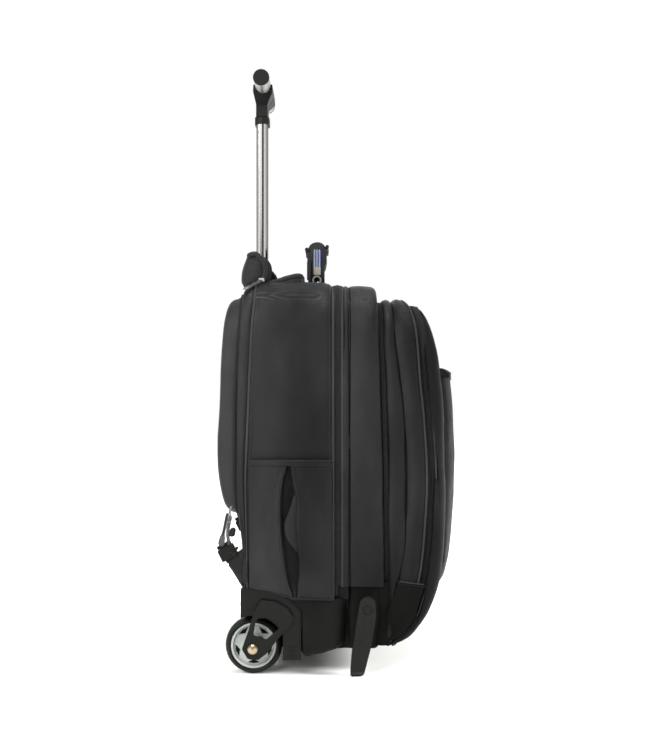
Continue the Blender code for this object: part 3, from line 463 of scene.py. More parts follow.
def disc(radius, count=10, height=1.0):
    """A round section, or an oval one, height times as high as it is wide."""
    return [(radius * math.cos(math.tau * k / count), radius * height * math.sin(math.tau * k / count))
            for k in range(count)]


def block_section(width, thick, lift=0.0, edge=0.3):
    """A strap's section: a flat block with eased corners."""
    w, t = width / 2, thick / 2
    e = thick * edge
    return [(-w + e, lift - t), (w - e, lift - t), (w, lift - t + e), (w, lift + t - e), (w - e, lift + t),
            (-w + e, lift + t), (-w, lift + t - e), (-w, lift - t + e)]


def blocks(name, path, pitch, size, closed=False, shift=0.0, lift=0.0):
    """Small blocks along a path, such as zip teeth or stitches: size is (along, across, out)."""
    points = []
    faces = []
    a, b, c = (s / 2 for s in size)
    for point, along, across, out in frames(resample(path, pitch, closed), closed):
        base = len(points)
        middle = point + across * shift + out * lift
        for level, grow in ((-1, 1.0), (1, 0.75)):
            for u, v in ((-1, -1), (1, -1), (1, 1), (-1, 1)):
                points.append(middle + along * (u * a * grow) + across * (v * b * grow) + out * (level * c))
        faces += [(base + 3, base + 2, base + 1, base), (base + 4, base + 5, base + 6, base + 7)]
        faces += [(base + k, base + (k + 1) % 4, base + 4 + (k + 1) % 4, base + 4 + k) for k in range(4)]
    return mesh_object(name, points, faces)


def piping(name, path, body, radius=0.0017, closed=False, material=None):
    return strip(name, resample(path, 0.004, closed), disc(radius, 8), material or PIPING, body, closed=closed)


def stitches(name, path, body, lift=0.0004, length=0.0026, pitch=0.004, material=None):
    row = blocks(name, path, pitch, (length, 0.0007, 0.0005), lift=lift)
    return finished(row, material or THREAD, body, smooth=0)


def zip_half(name, path, body, width, side, closed=False):
    """Half of a zip: a flat tape on one side of the path, and its row of coil teeth on the path."""
    section = [(side * a, o) for a, o in ((0.0006, -0.0005), (width, -0.0005), (width, 0.0005), (0.0006, 0.0005))]
    tape = strip(name + "_tape", resample(path, 0.004, closed), section, TAPE, body, closed)
    row = blocks(name + "_teeth", path, 0.0016, (0.001, 0.0028, 0.0013), closed, side * 0.0011, 0.0006)
    finished(row, COIL, body, smooth=0)
    return tape


def rounded_block(name, size, radius=0.001, segments=2, centre=(0, 0, 0)):
    """A block with rounded edges."""
    shape = bmesh.new()
    bmesh.ops.create_cube(shape, size=1.0)
    bmesh.ops.scale(shape, vec=size, verts=shape.verts)
    bmesh.ops.bevel(shape, geom=list(shape.edges), offset=radius, segments=segments, affect="EDGES",
                    profile=0.5)
    obj = from_bmesh(name, shape)
    obj.data.transform(Matrix.Translation(centre))
    return obj


def placed(obj, along, across, origin):
    """Turns a piece made about the origin so that its x runs along and its y across, and moves it."""
    along = Vector(along).normalized()
    out = along.cross(Vector(across)).normalized()
    across = out.cross(along)
    turn = Matrix((along, across, out)).transposed().to_4x4()
    obj.data.transform(Matrix.Translation(Vector(origin)) @ turn)
    return obj


def joined(name, objects):
    """One mesh from several."""
    shape = bmesh.new()
    for obj in objects:
        shape.from_mesh(obj.data)
        bpy.data.objects.remove(obj)
    return from_bmesh(name, shape)


def carve(obj, cutter):
    """Cuts one piece from another for good."""
    link(obj)
    link(cutter)
    change = obj.modifiers.new("cut", "BOOLEAN")
    change.operation = "DIFFERENCE"
    change.solver = "EXACT"
    change.object = cutter
    freeze(obj)
    bpy.data.objects.remove(cutter)
    return obj


# ---------------------------------------------------------------- camera, light and floor
def studio():
    """The photograph's view: a level camera on the case's left, soft lights and a pale floor."""
    camera = bpy.data.objects.new("camera", bpy.data.cameras.new("camera"))
    link(camera)
    camera.location = (-1.813, 0.0147, 0.378)
    camera.rotation_euler = (math.radians(90), 0, math.radians(-90))
    camera.data.lens = 62.93
    camera.data.sensor_width = 36
    bpy.context.scene.camera = camera

    floor = mesh_object("floor", [(-6, -6, 0), (6, -6, 0), (6, 6, 0), (-6, 6, 0)], [(0, 1, 2, 3)])
    white = Finish("floor_white", (0.95, 0.95, 0.945), 0.6)
    white.blend_colours(white.noise(3.0), (0.945, 0.94, 0.915), (0.955, 0.95, 0.925))
    finished(floor, white.material, None, smooth=0)

    world = bpy.data.worlds.new("studio")
    bpy.context.scene.world = world
    world.use_nodes = True
    tree = world.node_tree
    place = tree.nodes.new("ShaderNodeTexCoord")
    split = tree.nodes.new("ShaderNodeSeparateXYZ")
    tree.links.new(place.outputs["Generated"], split.inputs[0])
    both = tree.nodes.new("ShaderNodeMath")
    both.operation = "MULTIPLY"
    # The sky darkens upwards, and a little behind the camera.
    for n, (axis, limits) in enumerate((("Z", (0.3, 0.62, 1.0, 0.6)), ("X", (-0.95, -0.15, 0.78, 1.0)))):
        fade = tree.nodes.new("ShaderNodeMapRange")
        for key, value in zip(("From Min", "From Max", "To Min", "To Max"), limits):
            fade.inputs[key].default_value = value
        tree.links.new(split.outputs[axis], fade.inputs["Value"])
        tree.links.new(fade.outputs[0], both.inputs[n])
    tree.links.new(both.outputs[0], tree.nodes["Background"].inputs["Strength"])
    tree.nodes["Background"].inputs["Color"].default_value = (1, 1, 1, 1)
    sun = bpy.data.objects.new("sun", bpy.data.lights.new("sun", "SUN"))
    link(sun)
    sun.data.energy = 2.4
    sun.data.angle = math.radians(38)
    sun.rotation_euler = (0, math.radians(-6), 0)
    for name, spot, size, power in (("key", (-1.5, 2.4, 1.9), 0.8, 55), ("front", (-0.9, -2.7, 1.3), 0.9, 190),
                                    ("fill", (-2.1, 1.0, 1.3), 1.0, 42)):
        light = bpy.data.objects.new(name, bpy.data.lights.new(name, "AREA"))
        link(light)
        light.location = spot
        light.data.size = size
        light.data.energy = power
        light.visible_glossy = name != "front"
        light.rotation_euler = (Vector((0, 0, 0.3)) - Vector(spot)).to_track_quat("-Z", "Y").to_euler()
    bpy.context.scene.view_settings.view_transform = "Standard"


studio()

# ---------------------------------------------------------------- the case's outlines
WELL_Y = 0.099          # middle of the well that the handle sinks into
MAIN_ZIP = -0.0012      # where the two halves of the case meet
CARRY_Y = 0.0255        # middle of the carry handle
CASE = Arch(0.17, 0.0958, 0.498, 0.065)
FRONT = Arch(0.166, 0.112, 0.492, 0.062)
POCKET = Arch(0.16, 0.0385, 0.476, 0.068, 0.02)
PANEL = Arch(0.154, 0.033, 0.4665, 0.075, 0.024)
BACK = Arch(0.16, 0.1975, 0.4815, 0.062, 0.03)

REAR_EDGE = smooth_profile([(0.0958, 0.1185), (0.16, 0.1185), (0.196, 0.1215), (0.246, 0.1262),
                            (0.3216, 0.1265), (0.3968, 0.1235), (0.45, 0.12), (0.486, 0.118),
                            (0.498, 0.1165)])
REAR_PIPE = smooth_profile([(0.1, 0.112), (0.15, 0.1125), (0.246, 0.1141), (0.34, 0.111),
                            (0.434, 0.1068), (0.47, 0.104), (0.498, 0.103)])
HALF_FRONT = smooth_profile([(0.112, -0.0592), (0.246, -0.058), (0.347, -0.0555), (0.434, -0.052),
                             (0.482, -0.051), (0.492, -0.05)])
CREASE = smooth_profile([(0.0385, -0.059), (0.048, -0.0605), (0.071, -0.0668), (0.1211, -0.0793),
                         (0.1712, -0.0868),
                         (0.2464, -0.0881), (0.3216, -0.0856), (0.3717, -0.0805), (0.4219, -0.0743),
                         (0.4707, -0.0718), (0.476, -0.0715)])
POCKET_EDGE = smooth_profile([(0.0385, -0.0615), (0.0483, -0.0706), (0.0604, -0.0816), (0.076, -0.0912),
                              (0.092, -0.0965), (0.1077, -0.101), (0.134, -0.1065), (0.1712, -0.1105),
                              (0.2464, -0.1144), (0.3216, -0.1106), (0.3717, -0.1056), (0.4344, -0.1006),
                              (0.466, -0.0931), (0.476, -0.085)])
PANEL_EDGE = smooth_profile([(0.033, -0.066), (0.0374, -0.0725), (0.0483, -0.087), (0.0604, -0.098),
                             (0.076, -0.1075), (0.092, -0.113), (0.1077, -0.118), (0.134, -0.1235),
                             (0.1712, -0.1275),
                             (0.2464, -0.1305), (0.3216, -0.1305), (0.3868, -0.1265), (0.4344, -0.119),
                             (0.46, -0.11), (0.4665, -0.101)])
PANEL_FACE = smooth_profile([(0.033, -0.07), (0.0393, -0.0805), (0.0478, -0.0925), (0.0604, -0.1045),
                             (0.076, -0.115), (0.1011, -0.126), (0.13, -0.133), (0.1712, -0.1352),
                             (0.2464, -0.136),
                             (0.3216, -0.1355), (0.3868, -0.1295), (0.4344, -0.1205), (0.46, -0.1112),
                             (0.4665, -0.1018)])
BACK_FACE = smooth_profile([(0.1975, 0.129), (0.201, 0.135), (0.215, 0.143), (0.244, 0.149),
                            (0.29, 0.1515), (0.347, 0.149), (0.422, 0.145), (0.458, 0.1415),
                            (0.474, 0.137), (0.4815, 0.13)])


def flat(y):
    return lambda z: y


def smoothstep(a, b, t):
    t = min(max((t - a) / (b - a), 0.0), 1.0)
    return t * t * (3 - 2 * t)


# ---------------------------------------------------------------- rear half
def roof_dip(p):
    """The roof rolls down towards the main zip."""
    near = min(max((0.02 - p.y) / 0.015, 0.0), 1.0)
    return (0, 0, -0.0045 * near * near * smoothstep(0.455, 0.49, p.z))


def rear_half():
    front_rim = 0.005
    rings = [(0.0035, flat(front_rim)), (0.0012, flat(front_rim + 0.0006)), (0.0, flat(front_rim + 0.0025))]
    for t in steps(0.0, 1.0, 16)[1:]:
        puff = -0.0012 * math.sin(math.pi * t)
        rings.append((puff, between(flat(front_rim + 0.0025), offset(REAR_PIPE, -0.0018), t)))
    rings += [(0.0014, REAR_PIPE), (0.0004, offset(REAR_PIPE, 0.0018))]
    for t in (0.25, 0.5, 0.75, 1.0):
        rings.append((0.0012 * t * t - 0.0006 * math.sin(math.pi * t),
                      between(offset(REAR_PIPE, 0.0018), offset(REAR_EDGE, -0.003), t)))
    rings += [(0.0012 + 0.003 * inward, offset(REAR_EDGE, -0.003 + 0.003 * out)) for inward, out in quarter(4)]
    rings += [(inset, REAR_EDGE) for inset in steps(0.012, 0.17, 12)]
    obj = shell("main_shell", CASE, rings)
    wrinkled(obj, 0.0024, 0.085, 3.1, (1.0, 1.3, 0.55),
             lambda p: smoothstep(0.1, 0.14, p.z) * (1 - 0.8 * smoothstep(0.44, 0.485, p.z)))
    wrinkled(obj, 0.0006, 0.022, 7.7, (1.0, 0.7, 1.4), lambda p: 1 - smoothstep(0.1, 0.2, p.z))
    moved(obj, roof_dip)
    freeze(obj)
    carve(obj, rounded_block("mouth", (0.207, 0.033, 0.05), 0.004, centre=(0, WELL_Y, 0.5)))
    finished(obj, [NYLON, LINING], "case")
    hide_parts("main_compartment")
    for name, side in SIDES.items():
        def beside(path, side=side):
            """The path as far as the handle's mouth, on one side."""
            return [(p, n) for p, n in path if p.x * side > 0.106 or p.z < 0.44 and p.x * side > 0]
        piping(f"rear_piping_{name}", beside(CASE.path(REAR_PIPE, 0.0004)), "case", 0.0016)
        stitches(f"rear_piping_stitches_{name}", beside(CASE.path(offset(REAR_PIPE, -0.004), -0.0003)), "case")
        stitches(f"rear_sewing_{name}", beside(CASE.path(offset(REAR_PIPE, -0.007), 0.0004, 0.12)), "case",
                 material=LINING, length=0.0022, pitch=0.0044)
    moved(piping("front_piping_rear_half", CASE.path(flat(front_rim - 0.0004), 0.0012), "case", 0.0015), roof_dip)
    moved(stitches("front_piping_stitches", CASE.path(flat(front_rim + 0.0045), -0.0005), "case"), roof_dip)
    moved(stitches("shell_sewing", CASE.path(flat(front_rim + 0.008), 0.0004, 0.12), "case", material=LINING,
                   length=0.0022, pitch=0.0044), roof_dip)
    tape = zip_half("main_zip_rear", CASE.path(flat(MAIN_ZIP), 0.0042, 0.098), "case", 0.0052, -1)
    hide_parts("main_zip_tape_rear")


rear_half()


def front_half():
    rear = -0.0085
    rings = [(0.003, flat(rear)), (-0.0005, flat(rear - 0.0004)), (-0.0012, flat(rear - 0.003)),
             (-0.0004, flat(rear - 0.0058)), (0.0022, flat(rear - 0.0068)), (0.0022, flat(rear - 0.0076)),
             (-0.0004, flat(rear - 0.0092))]
    for t in steps(0.0, 1.0, 8)[1:]:
        rings.append((-0.0006 - 0.0012 * math.sin(math.pi * t),
                      between(flat(rear - 0.0092), offset(HALF_FRONT, 0.004), t)))
    rings += [(0.004 * inward, offset(HALF_FRONT, 0.004 - 0.004 * out)) for inward, out in quarter(4)]
    rings += [(inset, HALF_FRONT) for inset in steps(0.012, 0.166, 10)]
    obj = shell("front_shell", FRONT, rings)
    wrinkled(obj, 0.0018, 0.05, 5.3, (1.0, 1.0, 0.45))
    freeze(obj)
    finished(obj, [NYLON, LINING], "front_section")
    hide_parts("front_compartment")
    piping("front_half_piping", FRONT.path(flat(-0.007), -0.0006), "front_section", 0.0015)
    tape = zip_half("main_zip_front", CASE.path(flat(MAIN_ZIP), 0.0042, 0.113), "front_section", 0.0052, 1)
    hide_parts("main_zip_tape_front")


front_half()


def main_gusset():
    """Cloth inside the main zip, which spans the two halves."""
    rows = [[(x, y, z) for x, z, _, _ in CASE.ring(0.0085)] for y in steps(0.009, -0.015, 8)]
    obj = freeze(solidify(surface("main_gusset", rows), 0.001, lined=False))
    finished(obj, LINING, None)
    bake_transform(obj)


main_gusset()


def front_pocket():
    start = offset(HALF_FRONT, -0.0008)
    rings = [(0.0085, start), (0.005, offset(start, -0.0004)), (0.0048, offset(start, -0.0062)),
             (0.0015, offset(start, -0.0068)), (0.0002, offset(start, -0.0085))]
    for t in steps(0.0, 1.0, 6)[1:]:
        rings.append((0.0002 + 0.0022 * t ** 3 - 0.0012 * math.sin(math.pi * t),
                      between(offset(start, -0.0085), offset(CREASE, 0.0008), t)))
    rings += [(0.0042, CREASE), (0.0024, offset(CREASE, -0.0008))]
    for t in steps(0.0, 1.0, 10)[1:]:
        rings.append((0.0024 * (1 - t) ** 3 - 0.0018 * math.sin(math.pi * t) + 0.0006 * t,
                      between(offset(CREASE, -0.0008), offset(POCKET_EDGE, 0.0014), t)))
    rings += [(0.0014, offset(POCKET_EDGE, 0.0004)), (0.0034, POCKET_EDGE), (0.0075, offset(POCKET_EDGE, 0.0004))]
    obj = shell("pocket_shell", POCKET, rings, 0.0022)
    wrinkled(obj, 0.0019, 0.045, 9.4, (1.0, 1.0, 0.35))
    freeze(obj)
    finished(obj, [NYLON, LINING], "front_section")
    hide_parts("front_pocket")
    piping("pocket_piping", POCKET.path(offset(POCKET_EDGE, 0.0006), 0.0006), "front_section", 0.0013, True)
    for letter, side in ZIP_HALVES.items():
        zip_half(f"second_zip_{letter}", POCKET.path(offset(start, -0.0034), 0.0042, 0.12), "front_section",
                 0.003, side)
    zip_half("front_zip_a", POCKET.path(offset(POCKET_EDGE, -0.0062), 0.0085, 0.07), "front_section", 0.0062, 1)


front_pocket()


def front_panel():
    rim = offset(POCKET_EDGE, -0.0062)
    rings = [(0.002, offset(rim, -0.005)), (-0.0004, offset(rim, -0.0054)), (-0.0006, offset(rim, -0.007))]
    for t in steps(0.0, 1.0, 4)[1:]:
        rings.append((-0.0006 + 0.0002 * t, between(offset(rim, -0.007), offset(PANEL_EDGE, 0.003), t)))
    rings += [(0.015 * inward, between(offset(PANEL_EDGE, 0.003), PANEL_FACE, out)) for inward, out in quarter(8)]
    rings += [(inset, PANEL_FACE) for inset in steps(0.018, 0.154, 14)]
    obj = shell("panel_shell", PANEL, rings, 0.0022)
    wrinkled(obj, 0.0022, 0.05, 12.4, (0.8, 1.0, 0.5))
    freeze(obj)
    finished(obj, [PANEL_NYLON, LINING], "front_panel")
    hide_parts("front_panel")
    zip_half("front_zip_b", POCKET.path(rim, 0.0085, 0.07), "front_panel", 0.0062, -1)
    piping("panel_piping", PANEL.path(offset(rim, -0.0052), -0.0002), "front_panel", 0.0013, True)


front_panel()


def back_panel():
    rim = offset(REAR_EDGE, 0.0008)
    rings = [(0.003, rim), (0.0002, offset(rim, 0.0004))]
    for t in steps(0.0, 1.0, 5)[1:]:
        rings.append((0.0002 + 0.004 * t * t, between(offset(rim, 0.0004), offset(BACK_FACE, -0.006), t)))
    rings += [(0.0042 + 0.009 * inward, offset(BACK_FACE, -0.006 + 0.006 * out)) for inward, out in quarter(5)]
    rings += [(inset, BACK_FACE) for inset in steps(0.022, 0.142, 14)]
    obj = shell("back_pad", BACK, rings, 0.003)
    wrinkled(obj, 0.001, 0.05, 21.0, (1.0, 1.0, 0.6))
    freeze(obj)
    finished(obj, [PADDING, LINING], "case")
    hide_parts("back_panel")
    for letter, side in ZIP_HALVES.items():
        zip_half(f"back_zip_{letter}", BACK.path(offset(REAR_EDGE, 0.0006), -0.0012), "case", 0.004, side, True)


back_panel()

# ---------------------------------------------------------------- base of the case
def plan_loop(corners, radii, inset, rise, lift):
    """A level outline with rounded corners, the same count of points at every inset."""
    points = []
    count = len(corners)
    for k in range(count):
        before, at, after = (Vector(corners[(k + d) % count]) for d in (-1, 0, 1))
        a, b = (at - before).normalized(), (after - at).normalized()
        turn = a.x * b.y - a.y * b.x
        at = at + (Vector((-a.y, a.x)) + Vector((-b.y, b.x))) * inset
        radius = max(radii[k] - (inset if turn > 0 else -inset), 0.001)
        centre = at + (b - a) * radius
        arc = []
        for s in range(7):
            angle = math.pi / 2 * s / 6
            arc.append(centre + (-b * math.cos(angle) + a * math.sin(angle)) * radius)
        points += arc
    spaced = []
    for k in range(count):
        start, end = points[k * 7 + 6], points[(k * 7 + 7) % len(points)]
        spaced += points[k * 7:k * 7 + 7]
        pieces = max(round((Vector(corners[(k + 1) % count]) - Vector(corners[k])).length / 0.008), 2)
        spaced += [start.lerp(end, s / pieces) for s in range(1, pieces)]
    return [(p.x, p.y, lift + rise(p.y)) for p in spaced]


def tub(name, corners, radii, low, high, edge, rise):
    """A cloth tub with a rounded bottom edge, open above."""
    rows = [[(x, y, high) for x, y, _ in plan_loop(corners, radii, 0.0015, rise, high)]]
    for t in steps(0.0, 1.0, 9):
        grow = 0.0014 * math.sin(math.pi * t)
        rows.append([(x, y, high - 0.001 + (z - high + 0.001) * t) for x, y, z in
                     plan_loop(corners, radii, -grow, rise, low + edge)])
    for inward, out in quarter(6):
        rows.append(plan_loop(corners, radii, edge * inward, rise, low + edge * (1 - out)))
    rows.append(plan_loop(corners, radii, edge * 2.2, rise, low))
    count = len(rows[0])
    bottom = tuple((len(rows) - 1) * count + c for c in range(count))
    return solidify(tidy_mesh(surface(name, rows, True, [bottom])), 0.003)


def bases():
    inner = 0.117
    corners = [(-0.17, -0.0125), (0.17, -0.0125), (0.17, 0.0442), (inner, 0.0442), (inner, 0.119),
               (-inner, 0.119), (-inner, 0.0442), (-0.17, 0.0442)]
    rise = smooth_profile([(-0.0125, 0.0098), (-0.0066, 0.0096), (0.0084, 0.0059), (0.0448, 0.0), (0.119, 0.0)])
    obj = tub("base_cloth_tub", corners, [0.016, 0.016, 0.004, 0.004, 0.006, 0.006, 0.004, 0.004],
              0.025, 0.0975, 0.01, rise)
    wrinkled(obj, 0.003, 0.03, 2.2, (1.0, 1.0, 0.35), lambda p: smoothstep(0.0, 0.02, 0.105 - p.z) * 0.8)
    freeze(obj)
    finished(obj, [BASE_NYLON, LINING], "case")
    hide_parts("base_tub")

    corners = [(-0.16, -0.0545), (0.16, -0.0545), (0.16, -0.0135), (-0.16, -0.0135)]
    obj = tub("front_base_cloth", corners, [0.008, 0.008, 0.01, 0.01], 0.0315, 0.1118, 0.008, lambda y: 0.0)
    wrinkled(obj, 0.0022, 0.028, 6.2, (1.0, 1.0, 0.4), lambda p: smoothstep(0.0, 0.015, 0.112 - p.z) * 0.8)
    freeze(obj)
    finished(obj, [BASE_NYLON, LINING], "case")
    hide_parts("front_base")


bases()


# ---------------------------------------------------------------- sheets and pads
def cloth_sheet(name, place, columns, rows, wall=0.002, flip=False, offset=-1.0):
    """A sheet through place(u, v), u and v from 0 to 1, thickened by wall behind its face."""
    points = [place(c / columns, r / rows) for r in range(rows + 1) for c in range(columns + 1)]
    faces = grid_faces(rows + 1, columns + 1)
    obj = mesh_object(name, points, [face[::-1] for face in faces] if flip else faces)
    return freeze(solidify(obj, wall, offset=offset))


def dressed_sheet(name, place, grid, wall, flip, finish, body, folds=None):
    """A finished sheet, with the folds that wrinkled() takes."""
    obj = cloth_sheet(name, place, *grid, wall, flip)
    if folds:
        wrinkled(obj, *folds)
    return finished(obj, finish, body)


def slab(name, outline, low, high, bevel):
    """A padded board: an outline in x and z, from y low to high, with rounded edges."""
    shape = bmesh.new()
    face = shape.faces.new([shape.verts.new((x, low, z)) for x, z in outline])
    pushed = bmesh.ops.extrude_face_region(shape, geom=[face])
    bmesh.ops.translate(shape, vec=(0, high - low, 0),
                        verts=[v for v in pushed["geom"] if isinstance(v, bmesh.types.BMVert)])
    bmesh.ops.recalc_face_normals(shape, faces=shape.faces)
    rims = [e for e in shape.edges if abs(e.verts[0].co.y - e.verts[1].co.y) < 1e-6]
    bmesh.ops.bevel(shape, geom=rims, offset=bevel, segments=4, affect="EDGES", profile=0.5)
    bmesh.ops.triangulate(shape, faces=[f for f in shape.faces if len(f.verts) > 4])
    return from_bmesh(name, shape)


def round_corners(corners, radius, count=6):
    points = []
    for k in range(len(corners)):
        before, at, after = (Vector(corners[(k + d) % len(corners)]) for d in (-1, 0, 1))
        a, b = (before - at).normalized(), (after - at).normalized()
        for s in range(count + 1):
            t = s / count
            points.append(tuple(at + a * radius * (1 - t) ** 2 + b * radius * t ** 2))
    return points


# ---------------------------------------------------------------- slip pocket
SLIP_OUT = smooth_profile([(0.088, -0.13), (0.101, -0.137), (0.117, -0.1428), (0.1436, -0.1492),
                           (0.175, -0.154), (0.215, -0.1572), (0.265, -0.1585), (0.3216, -0.157),
                           (0.377, -0.1525), (0.388, -0.1515)])


def slip_pocket():
    half, low, high, corner = 0.1255, 0.088, 0.3868, 0.045

    def place(u, v):
        side = 2 * u - 1
        z = low + (high - 0.0065 * (1 - side ** 4) - low) * v
        width = half
        if z < low + corner:
            width -= corner - math.sqrt(max(corner ** 2 - (low + corner - z) ** 2, 0.0))
        grow = (1 - abs(side) ** 2.6) ** 0.5 * min(math.sqrt(max(v, 0.0) / 0.1), 1.0)
        y = PANEL_FACE(z) - 0.0012 + (SLIP_OUT(z) - PANEL_FACE(z)) * grow
        return Vector((width * side, y, z))

    obj = cloth_sheet("slip_pocket_cloth", place, 72, 60, 0.002)
    wrinkled(obj, 0.0016, 0.055, 15.5, (0.9, 1.0, 0.7))
    finished(obj, [PANEL_NYLON, LINING], "front_panel")
    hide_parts("slip_pocket")
    rim = []
    for k in range(73):
        point = place(k / 72, 1.0)
        rim.append((point + Vector((0, -0.0003, -0.0042)), Vector((0, -1, 0.05)).normalized()))
    hem = sweep("slip_pocket_hem", rim, block_section(0.0095, 0.0034, 0.0, 0.4))
    wrinkled(hem, 0.0004, 0.02, 4.4)
    finished(hem, PANEL_NYLON, "front_panel")
    for n, drop in enumerate((0.001, 0.0092)):
        line = [(place(k / 72, 1.0) + Vector((0, -0.0016, -drop)), Vector((0, -1, 0))) for k in range(1, 72)]
        stitches(f"slip_pocket_stitches_{n}", line, "front_panel", lift=0.0006)
    for name, side in SIDES.items():
        def stay_place(u, v, side=side):
            top = 0.3872 - 0.007 * u
            return Vector((side * (half - 0.001 - 0.004 * u * u), -0.13 - 0.016 * u,
                           0.3745 + (top - 0.3745) * v))
        dressed_sheet(f"slip_pocket_stay_{name}", stay_place, (8, 6), 0.0012, side > 0, LINING, "front_panel")
    seam = [(place(0.0, 1 - k / 60), Vector((-0.5, -0.85, 0)).normalized()) for k in range(61)]
    seam += [(place(k / 72, 0.0), Vector((0, -0.85, -0.5)).normalized()) for k in range(1, 73)]
    seam += [(place(1.0, k / 60), Vector((0.5, -0.85, 0)).normalized()) for k in range(1, 61)]
    piping("slip_pocket_seam", seam, "front_panel", 0.0011, material=PANEL_NYLON)


slip_pocket()


# ---------------------------------------------------------------- side pockets
REAR_LIP = smooth_profile([(0.105, 0.0535), (0.113, 0.0571), (0.134, 0.0622), (0.1635, 0.066),
                           (0.188, 0.068), (0.2134, 0.0686), (0.2425, 0.066), (0.264, 0.0605)])
FRONT_LIP = smooth_profile([(0.105, 0.0515), (0.115, 0.051), (0.134, 0.0488), (0.147, 0.049),
                            (0.1635, 0.0512), (0.177, 0.052), (0.196, 0.0528), (0.221, 0.0514),
                            (0.231, 0.0535), (0.246, 0.057), (0.264, 0.0598)])
FLAP_EDGE = smooth_profile([(0.158, 0.05), (0.164, 0.0546), (0.176, 0.063), (0.188, 0.0655),
                            (0.214, 0.0571), (0.23, 0.052), (0.233, 0.05)])
POUCH_FOOT = smooth_profile([(0.0000, 0.0962), (0.0561, 0.0992), (0.085, 0.108), (0.1099, 0.1125)])
POUCH_IN = 0.173


def pouch_rise(y, z):
    """How far the pocket's cloth stands off the case at (y, z)."""
    up = smoothstep(0.098, 0.135, z) * (1 - 0.45 * smoothstep(0.2, 0.268, z))
    over = math.sqrt(max(math.sin(math.pi * min(max((y - 0.004) / 0.107, 0.0), 1.0)), 0.0))
    front_fold = smoothstep(0.004, 0.014, y)
    return 0.0008 + 0.0082 * up * over * front_fold


def side_pocket(name, side):
    top = 0.265

    def curl(distance):
        return (0.0012 * math.exp(-((distance - 0.0042) / 0.0022) ** 2)
                - 0.0032 * math.exp(-(distance / 0.0014) ** 2))

    def rear_place(u, v):
        u = 1 - (1 - u) ** 1.5
        foot = POUCH_FOOT(0.109 + (0.056 - 0.109) * u)
        z = foot + (top - foot) * v
        edge = REAR_LIP(z)
        y = 0.1092 + (edge - 0.1092) * u
        return Vector((side * (POUCH_IN + pouch_rise(y, z) + curl(y - edge)), y, z))

    def front_place(u, v):
        u = u ** 1.5
        foot = POUCH_FOOT(0.053 + (0.005 - 0.053) * u)
        z = foot + (top - foot) * v
        edge = FRONT_LIP(z)
        y = edge + (0.0052 - edge) * u
        return Vector((side * (POUCH_IN + pouch_rise(y, z) + curl(edge - y)), y, z))

    def flap_place(u, v):
        z = 0.158 + 0.075 * v
        start = FRONT_LIP(z) - 0.003
        y = start + (FLAP_EDGE(z) - start) * u
        return Vector((side * (POUCH_IN + pouch_rise(y, z) - 0.0022 - 0.0012 * u * u), y, z))

    turned = side > 0
    panels = [cloth_sheet(f"pouch_{n}_{name}", place, 34, 66, 0.0014, turned)
              for n, place in enumerate((rear_place, front_place))]
    panels.append(cloth_sheet(f"pouch_flap_{name}", flap_place, 8, 20, 0.0008, turned))
    for n, panel in enumerate(panels):
        wrinkled(panel, 0.0011, 0.045, 30.0 + n, (1.0, 1.0, 0.4))
    obj = joined(f"side_pocket_cloth_{name}", panels)
    finished(obj, [NYLON, LINING], "case")
    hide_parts(f"side_pocket_{name}")

    def back_place(u, v):
        return Vector((side * (POUCH_IN - 0.0004), 0.1075 - 0.101 * u, 0.108 + 0.156 * v))
    dressed_sheet(f"side_pocket_lining_{name}", back_place, (12, 18), 0.0006, turned, LINING, "case")

    out = Vector((side, 0, 0))
    hem = [(Vector((side * (POUCH_IN + pouch_rise(y, 0.268) + 0.0002), y, 0.2682)), out)
           for y in steps(0.1098, 0.0046, 50)]
    band = sweep(f"side_pocket_hem_{name}", hem, block_section(0.0078, 0.003, 0.0, 0.45))
    wrinkled(band, 0.0007, 0.012, 8.8, (1.0, 1.0, 1.0))
    finished(band, NYLON, "case")
    for n, height in enumerate((0.2712, 0.2652)):
        line = [(Vector((side * (POUCH_IN + pouch_rise(y, 0.268) + 0.0016), y, height)), out)
                for y in steps(0.1085, 0.0056, 40)]
        stitches(f"side_pocket_hem_stitches_{n}_{name}", line, "case")
    for n, gap in enumerate((0.0032, 0.0058)):
        line = []
        for z in steps(0.112, 0.262, 50):
            y = REAR_LIP(z) + gap
            line.append((Vector((side * (POUCH_IN + pouch_rise(y, z) + curl(gap) + 0.0002), y, z)), out))
        stitches(f"side_pocket_slit_stitches_{n}_{name}", line, "case", pitch=0.0034)
    foot_line = [(Vector((side * (POUCH_IN + 0.0012), y, POUCH_FOOT(y) + 0.0003)), out)
                 for y in steps(0.1092, 0.0048, 30)]
    piping(f"side_pocket_foot_{name}", foot_line, "case", 0.0011, material=NYLON)


for name, side in SIDES.items():
    side_pocket(name, side)


